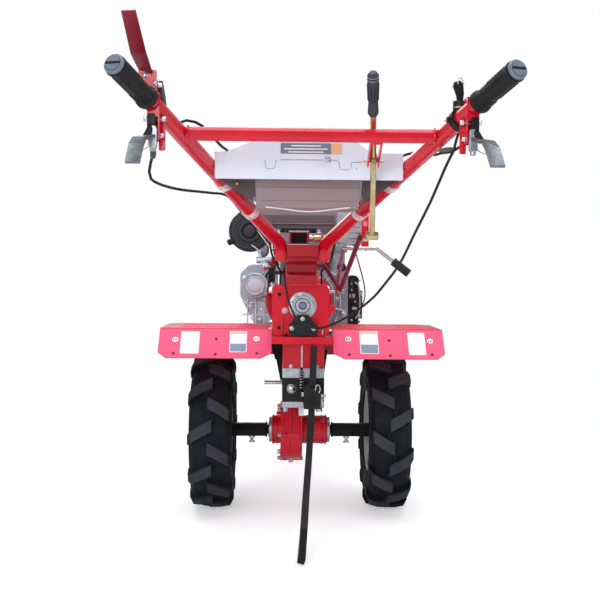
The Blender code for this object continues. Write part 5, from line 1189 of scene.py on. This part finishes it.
def crankcase_rear():
    """Curved and radial ribs on the crankcase's rear face, and the bolts on it."""
    centre = Vector((0, 188.5, 551))
    ribs = Piece()
    for radius in (103, 120):
        ribs.tube(arc(centre, radius, X, Z, -52, 44, 18), 3, 8)
    foot = centre - Y * 0.5
    for degrees in (-40, -12, 14, 36):
        outward = spoke(degrees, X, Z)
        ribs.tube([foot + outward * 98, foot + outward * 136], 2.6, 8)
    ribs.block((109, 180, 454), (130, 190.3, 470))
    bosses = ((130, 513), (96, 627))
    for x, z in bosses:
        ribs.turned([(0, 8.5), (10, 8)], (x, 190.3, z), -Y, 18)
    ribs.make("crankcase_ribs", "pale_alloy", bevel=0.8)
    bolts = Piece().bolts([(x, 180.3, z) for x, z in bosses], -Y, 12, 0.6, 1.2)
    face = ((112, 556), (115, 590), (106, 490), (133, 618), (126, 576))
    bolts.bolts([(x, 190, z) for x, z in face], -Y, 9.5, 0.6)
    for degrees in range(20, 170, 26):
        turn = math.radians(degrees)
        bolts.bolt((88 * math.cos(turn), 178, 551 + 90 * math.sin(turn)), -Y, 11, 0.6)
    # Screws of the side cover: y, z on its outer face, then z down its rear edge
    outer = ((216, 490), (216, 612), (298, 490), (298, 612), (257, 612))
    bolts.bolts([(175.4, y, z) for y, z in outer], X, 9, 0.55)
    for z in (495, 513, 530, 549, 566, 583, 602):
        bolts.dome((159 + 6 * math.sin(z * 0.3), 202.2, z), -Y, 3.6, 2)
    bolts.make("engine_bolts_right", "bolt_zinc", bevel=0.2)


def side_cover():
    """Grille bars and plates of the dark side cover, and the governor's pipes and brackets on it."""
    grille = Piece()
    for step in range(9):
        z = 499 + 12.5 * step
        grille.block((174.7, 226, z), (177.2, 288, z + 4))
    for low, high in (((150, 586), (162, 614)), ((167, 500), (186, 582))):
        grille.plate(low, high, 3, 205, 0, 3.6)
    grille.make("side_cover_grille", "shadow_green", bevel=0.5)
    pipe = Piece()
    pipe.tube(smooth([(164, 199, 606), (174, 197, 595), (178, 197.5, 560)]), 3, 10)
    pipe.tube(smooth([(178, 197.5, 560), (177, 198, 520), (166, 199, 500)]), 2.6, 10)
    pipe.plate((148, 560), (164, 572), 3, 201, -2, 4)
    pipe.plate((156, 526), (170, 534), 2, 201, -2, 4)
    pipe.bolts([(181, 201.2, 572), (176, 201.2, 508)], -Y, 8.5, 0.6, 1.3)
    pipe.make("governor_bracket", "bare_alloy", bevel=0.4)


def muffler():
    """Louvres, seams and bolts of the muffler, and the slots in the rear of its guard."""
    louvres = Piece()
    for step in range(5):
        z = 733 + 16.5 * step
        louvres.plate((148, z), (180, z + 2.2), 1, 229.9, -0.4, 1)
        louvres.prism(rounded((250, z), (330, z + 4.2), 2), (202.9, 0, 0), Y, Z, 0, 1)
    louvres.make("muffler_louvres", "seam_grey", slot="muffler_steel")
    seams = Piece()
    for y in (230, 350):
        outline = rounded((113, 718), (202, 846), 19)
        seams.tube([(x, y, z) for x, z in outline], 2.2, 6, closed=True)
    seams.bolts([(156, 252, 847), (156, 328, 847)], Z, 9, 0.5)
    seams.make("muffler_seams", "muffler_steel")
    slots = Piece()
    for z in (725, 770, 815):
        slots.plate((188, z), (201, z + 16), 3, 227.6, -0.2, 0.4)
    slots.make("guard_slots", "guard_pink")


def engine_wires():
    """Wire from the muffler's foot to the side cover, and a thinner one down the cover's rear."""
    path = [(160, 240, 719), (166, 205, 689), (174, 195, 661), (189, 195, 606)]
    path += [(193.5, 200, 570), (188, 208, 543), (176, 214, 532)]
    thin = [(165, 203.5, 618), (150, 190, 600), (156, 192, 550), (150, 203.5, 500)]
    wires = Piece().tube(smooth(path), 1.9, 8).tube(smooth(thin), 1.6, 8)
    wires.make("engine_wires", "black_plastic")


# Front face of the recoil starter on the line of the crankshaft
RECOIL_FACE = Vector((0, 576.3, 551))


def recoil_starter():
    """Boss, ring and pull handle of the recoil starter, and its vents."""
    dark = Piece().turned([(0, 24), (4, 23), (5.5, 18)], RECOIL_FACE, Y, 32)
    dark.ring(RECOIL_FACE - Y, Y, 65, 1.8, 48, 8)
    grip = Vector((70, RECOIL_FACE.y - 8, 615))
    half = X * 16 + Z * 14
    dark.tube([grip - half, grip, grip + half], [5, 6.4, 5], 12)
    dark.turned([(-14, 8), (4, 6.4)], grip, Y, 16)
    dark.make("recoil_boss", "black_plastic", bevel=0.6)
    vents = Piece()
    for outward in spokes(20, X, Z):
        foot = RECOIL_FACE + Y * 0.2
        vents.tube([foot + outward * 30, foot + outward * 60], 2.2, 6)
    vents.make("recoil_vents", "shadow_black")


def engine_bolts_front():
    """Bolts of the shroud, the head, the engine's feet, the bumper, the neck and the tank saddle."""
    shaft = Vector((0, 0, 551))
    bolts = Piece()
    for outward in spokes(4, X, Z, 45):
        bolts.bolt(shaft + outward * 112 + Y * 535.7, Y, 12, 0.6)
    for degrees in range(-20, 201, 44):
        outward = spoke(degrees, X, Z)
        bolts.bolt(shaft + outward * 149.9 + Y * 485, outward, 10, 0.5)
    bolts.bolts([(x, y, 750.1) for x in (-60, 60) for y in (258, 362)], Z, 12, 0.6)
    for _, side in SIDES:
        bolts.bolts([(side * 88, y, 404.9) for y in (230, 420)], -Z, 15, 0.55)
        bolts.bolt((side * 36, 610, 380), X * side, 15, 0.5, 1.2)
        bolts.bolts([(side * 56 - 3, 76.4, z) for z in (405, 455)], Y, 13, 0.6)
        bolts.bolt((side * 48, 429, 644.5), Z, 11, 0.6)
    bolts.make("engine_bolts_front", "bolt_zinc", bevel=0.2)


def head():
    """Cover on the cylinder head, the spark plug's socket, and its cap and lead."""
    lean = Vector((0, 1, 0.15))
    outline = rounded((-52, 262), (52, 358), 12)
    cover = Piece().prism(outline, (0, 0, 750), X, Y, 0, 15)
    cover.turned([(0, 10), (14, 9.5), (16, 7)], (0, 374, 730), lean, 18)
    cover.make("head_cover", "black_paint", bevel=1.6)
    lead = Piece().turned([(0, 9), (20, 8.5), (28, 6)], (0, 388, 732), lean, 16)
    path = [(0, 410, 735), (20, 425, 720), (50, 435, 690), (70, 462.5, 670)]
    lead.tube(smooth(path), 3.5, 8)
    lead.make("spark_lead", "black_plastic")


def tank():
    """Pressed seam and beads of the fuel tank, and its knurled cap."""
    outline = rounded((-150.5, 399.5), (150.5, 580.5), 30.5, 6)
    seam = Piece().tube([(x, y, 783) for x, y in outline], 3, 6, closed=True)
    for x in (-85, 0):
        seam.tube([(x, 425, 824.3), (x, 555, 824.3)], 3, 8)
    # The seam takes the tank's grey, with the same painted shade and painted red reflection
    seam.make("tank_seam", "grey_paint")
    foot = Vector((60, 490, 827))
    cap = Piece().turned([(0, 29), (10, 29.5), (15, 27), (16.5, 20)], foot, Z, 32)
    cap.knurls(foot, 18, 28.8, 12, 1.6)
    cap.make("tank_cap", "black_plastic", bevel=0.6)


def shroud_ribs():
    """Pressed rings on the shroud, and the welds of the bumper and the engine bed."""
    ribs = Piece()
    for radius in (118, 136):
        ribs.ring((0, 535.2, 551), Y, radius, 1.8, 64, 6)
    for _, side in SIDES:
        ribs.ring((side * 88, 641.5, 416), Y, 14.5, 2.8, 24, 8)
    for y in (590, 628):
        ribs.tube([(-69, y, 426.2), (69, y, 426.2)], 2.2, 6)
    ribs.make("shroud_ribs", "red_paint")


def handle_lock():
    """Dark inside of the lock in the handle post, its spring and the edges of its window."""
    window = Piece().plate((-29, 706.5), (11, 734), 2, -170, 0, 2)
    window.make("lock_inside", "shadow_black")
    path = coil(Vector((16.8, -175, 721)), X, Y, Z, 8.2, turns=5, pitch=1.6, steps=12)
    spring = Piece().tube(path, 1, 6)
    spring.block((-34.5, -191.5, 736), (16.5, -189.5, 739.2))
    spring.block((-34.5, -191.5, 703), (16.5, -189.5, 705.5))
    spring.make("lock_spring", "bolt_zinc")


def node_box(node):
    """Lowest and highest corner of a CAD node, in the frame and the millimetres of the pieces."""
    low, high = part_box(node)
    return (low - Y * AXLE_Y) * 1000, (high - Y * AXLE_Y) * 1000


def crankcase_sides():
    """Cover with its bolts, cooling fins, plug and foot rail on both sides of the crankcase."""
    foot = node_box("crankcase")[0].z + 6
    bottom = 448
    top = 596
    covers = Piece()
    bolts = Piece()
    # Side of the crankcase: direction, face, start and end of its cover along y
    for side, face, start, end in ((-1, -118, 318, 446), (1, 143, 330, 446)):
        out = X * side
        middle = (start + end) / 2
        outline = rounded((start, bottom), (end, top), 18)
        covers.prism(outline, X * face, Y, Z, 0, side * 5.5)
        inner = rounded((start + 22, bottom + 24), (end - 22, top - 24), 12)
        covers.prism(inner, X * face, Y, Z, side * 4.5, side * 8.5)
        for y in (start + 11, end - 11):
            heights = (bottom + 11, (bottom + top) / 2, top - 11)
            bolts.bolts([(face + side * 5.5, y, z) for z in heights], out, 9.8, 0.6, 1.3)
        for step in range(4):
            z = top + 10 + 7 * step
            covers.tube([(face, start - 20, z), (face, end, z)], 2.2, 8)
        covers.turned([(0, 12), (6, 11.2)], (face, middle, 436), out, 20)
        bolts.bolt((face + side * 6, middle, 436), out, 13.5, 0.6, 0)
        covers.brick(Vector((face + side * 2, middle, foot)), 4, 60, 4)
    covers.make("crankcase_covers", "bare_alloy", bevel=0.8)
    bolts.make("crankcase_bolts", "bolt_zinc", bevel=0.2)


def guard_sides():
    """Two columns of hooded slots on the outer side of the muffler's guard."""
    low, high = node_box("muffler_guard")
    slots = Piece()
    hoods = Piece()
    for column in range(2):
        start = low.y + 16 + column * 42
        for row in range(6):
            z = low.z + 30 + row * 19.5
            outline = rounded((start, z), (start + 32, z + 6), 2.8)
            slots.prism(outline, X * high.x, Y, Z, -0.2, 0.4)
            hoods.tube([(high.x, start + 1, z + 6.8), (high.x, start + 31, z + 6.8)], 2, 8)
    slots.make("guard_side_slots", "shadow_black")
    hoods.make("guard_side_hoods", "red_paint")


def white_room():
    """A white surround for the camera and for reflections, with a softer one for diffuse light."""
    world = bpy.data.worlds.new("room")
    bpy.context.scene.world = world
    world.use_nodes = True
    nodes = world.node_tree.nodes
    links = world.node_tree.links
    nodes.clear()
    path = nodes.new("ShaderNodeLightPath")
    seen = nodes.new("ShaderNodeMath")
    seen.operation = "MAXIMUM"
    links.new(path.outputs["Is Camera Ray"], seen.inputs[0])
    links.new(path.outputs["Is Transmission Ray"], seen.inputs[1])
    light = nodes.new("ShaderNodeBackground")
    light.inputs["Color"].default_value = (0.93, 0.95, 1.0, 1)
    light.inputs["Strength"].default_value = 0.34
    white = nodes.new("ShaderNodeBackground")
    white.inputs["Color"].default_value = (1, 1, 1, 1)
    white.inputs["Strength"].default_value = 1.0
    mix = nodes.new("ShaderNodeMixShader")
    links.new(seen.outputs[0], mix.inputs["Fac"])
    links.new(light.outputs[0], mix.inputs[1])
    links.new(white.outputs[0], mix.inputs[2])
    links.new(mix.outputs[0], nodes.new("ShaderNodeOutputWorld").inputs["Surface"])


def lamp(name, place, aim, size, power):
    """A rectangular white lamp; places and size in metres, power in watts."""
    data = bpy.data.lights.new(name, "AREA")
    data.shape = "RECTANGLE"
    data.size, data.size_y = size
    data.energy = power
    made = bpy.data.objects.new(name, data)
    bpy.context.scene.collection.objects.link(made)
    made.location = place
    made.rotation_euler = (Vector(aim) - Vector(place)).to_track_quat("-Z", "Y").to_euler()
    made.visible_camera = False


def white_floor():
    """Pale floor that keeps the shadow near the machine and fades into the white room further out."""
    pale = Finish("pale_floor", (0.9, 0.9, 0.92, 1), 0.7)
    pale.set("Specular IOR Level", 0.1)
    pale.vary_colour(1.5, (0.88, 0.88, 0.9, 1), (0.92, 0.92, 0.94, 1))
    nodes = pale.tree.nodes
    links = pale.tree.links
    lift = nodes.new("ShaderNodeEmission")
    lift.inputs["Color"].default_value = (1, 1, 1, 1)
    lift.inputs["Strength"].default_value = 0.42
    lit = nodes.new("ShaderNodeAddShader")
    links.new(pale.shader.outputs[0], lit.inputs[0])
    links.new(lift.outputs[0], lit.inputs[1])
    white = nodes.new("ShaderNodeEmission")
    white.inputs["Color"].default_value = (1, 1, 1, 1)
    distance = nodes.new("ShaderNodeVectorMath")
    distance.operation = "LENGTH"
    links.new(pale.place, distance.inputs[0])
    fade = nodes.new("ShaderNodeMapRange")
    fade.inputs["From Min"].default_value = 0.9
    fade.inputs["From Max"].default_value = 1.9
    links.new(distance.outputs["Value"], fade.inputs["Value"])
    near = nodes.new("ShaderNodeMixShader")
    links.new(fade.outputs["Result"], near.inputs["Fac"])
    links.new(lit.outputs[0], near.inputs[1])
    links.new(white.outputs[0], near.inputs[2])
    path = nodes.new("ShaderNodeLightPath")
    seen = nodes.new("ShaderNodeMixShader")
    links.new(path.outputs["Is Camera Ray"], seen.inputs["Fac"])
    links.new(pale.shader.outputs[0], seen.inputs[1])
    links.new(near.outputs[0], seen.inputs[2])
    links.new(seen.outputs[0], nodes["Material Output"].inputs["Surface"])
    return pale.material


def floor_and_light():
    """White floor and room, and four lamps above and around the machine."""
    mesh = bpy.data.meshes.new("floor")
    reach = 6.0
    corners = [(-reach, -reach, 0), (reach, -reach, 0), (reach, reach, 0), (-reach, reach, 0)]
    mesh.from_pydata(corners, [], [(0, 1, 2, 3)])
    floor = bpy.data.objects.new("floor", mesh)
    bpy.context.scene.collection.objects.link(floor)
    mesh.materials.append(white_floor())
    white_room()
    lamp("top", (0.0, -0.4, 3.2), (0, 0, 0.5), (3.0, 2.6), 66)
    lamp("behind_camera", (-1.4, -3.3, 1.3), (0, 0, 0.5), (2.2, 1.6), 44)
    lamp("right", (2.6, -1.2, 1.5), (0, 0, 0.6), (1.2, 1.6), 16)
    lamp("front", (-0.5, 2.8, 2.0), (0, 0.3, 0.5), (2.4, 1.4), 30)


def photo_camera():
    """The photograph's camera: its place in metres, tilts in degrees and focal length in pixels."""
    side, behind, height = -0.063, 2.62, 0.646
    down, right, roll = 1.89, 1.36, 0.5
    pixels, focal = 600, 968
    camera = bpy.data.objects.new("camera", bpy.data.cameras.new("camera"))
    bpy.context.scene.collection.objects.link(camera)
    camera.location = (side, AXLE_Y - behind, height)
    camera.rotation_euler = Euler((math.radians(90 - down), 0, math.radians(-right)), "XYZ")
    camera.rotation_euler.rotate_axis("Z", math.radians(roll))
    camera.data.sensor_width = 36.0
    camera.data.lens = 36.0 * focal / pixels
    scene = bpy.context.scene
    scene.camera = camera
    scene.render.resolution_x = pixels
    scene.render.resolution_y = pixels
    scene.render.resolution_percentage = 100
    scene.view_settings.view_transform = "Standard"


FENDERS = (stickers, fender_bolts, fender_holes, fender_folds)
GEAR_CASE = (gear_case_bolts, bearing_end, level_plug, gear_case_ribs, breather_pin, detent_tower)
COLUMN = (column_bolts, gusset_legs, stake_spring, stake_clamp_parts, final_drive, wheels)
STEERING = (handle_welds, cable_straps, grips, console_seams, console_edges, console_label, console_fasteners)
CONTROLS = (bin_trim, control_bolts, control_plates, control_arms, control_lugs, cable_ferrules, gear_lever)
ENGINE_REAR = (starter, timing_case, air_cleaner, carburettor, fillers, crankcase_rear, side_cover, muffler)
ENGINE_REST = (engine_wires, recoil_starter, engine_bolts_front, head, tank, shroud_ribs, handle_lock)
ENGINE_SIDES = (crankcase_sides, guard_sides)
for group in (FENDERS, GEAR_CASE, COLUMN, STEERING, CONTROLS, ENGINE_REAR, ENGINE_REST, ENGINE_SIDES):
    for build in group:
        build()
floor_and_light()
photo_camera()
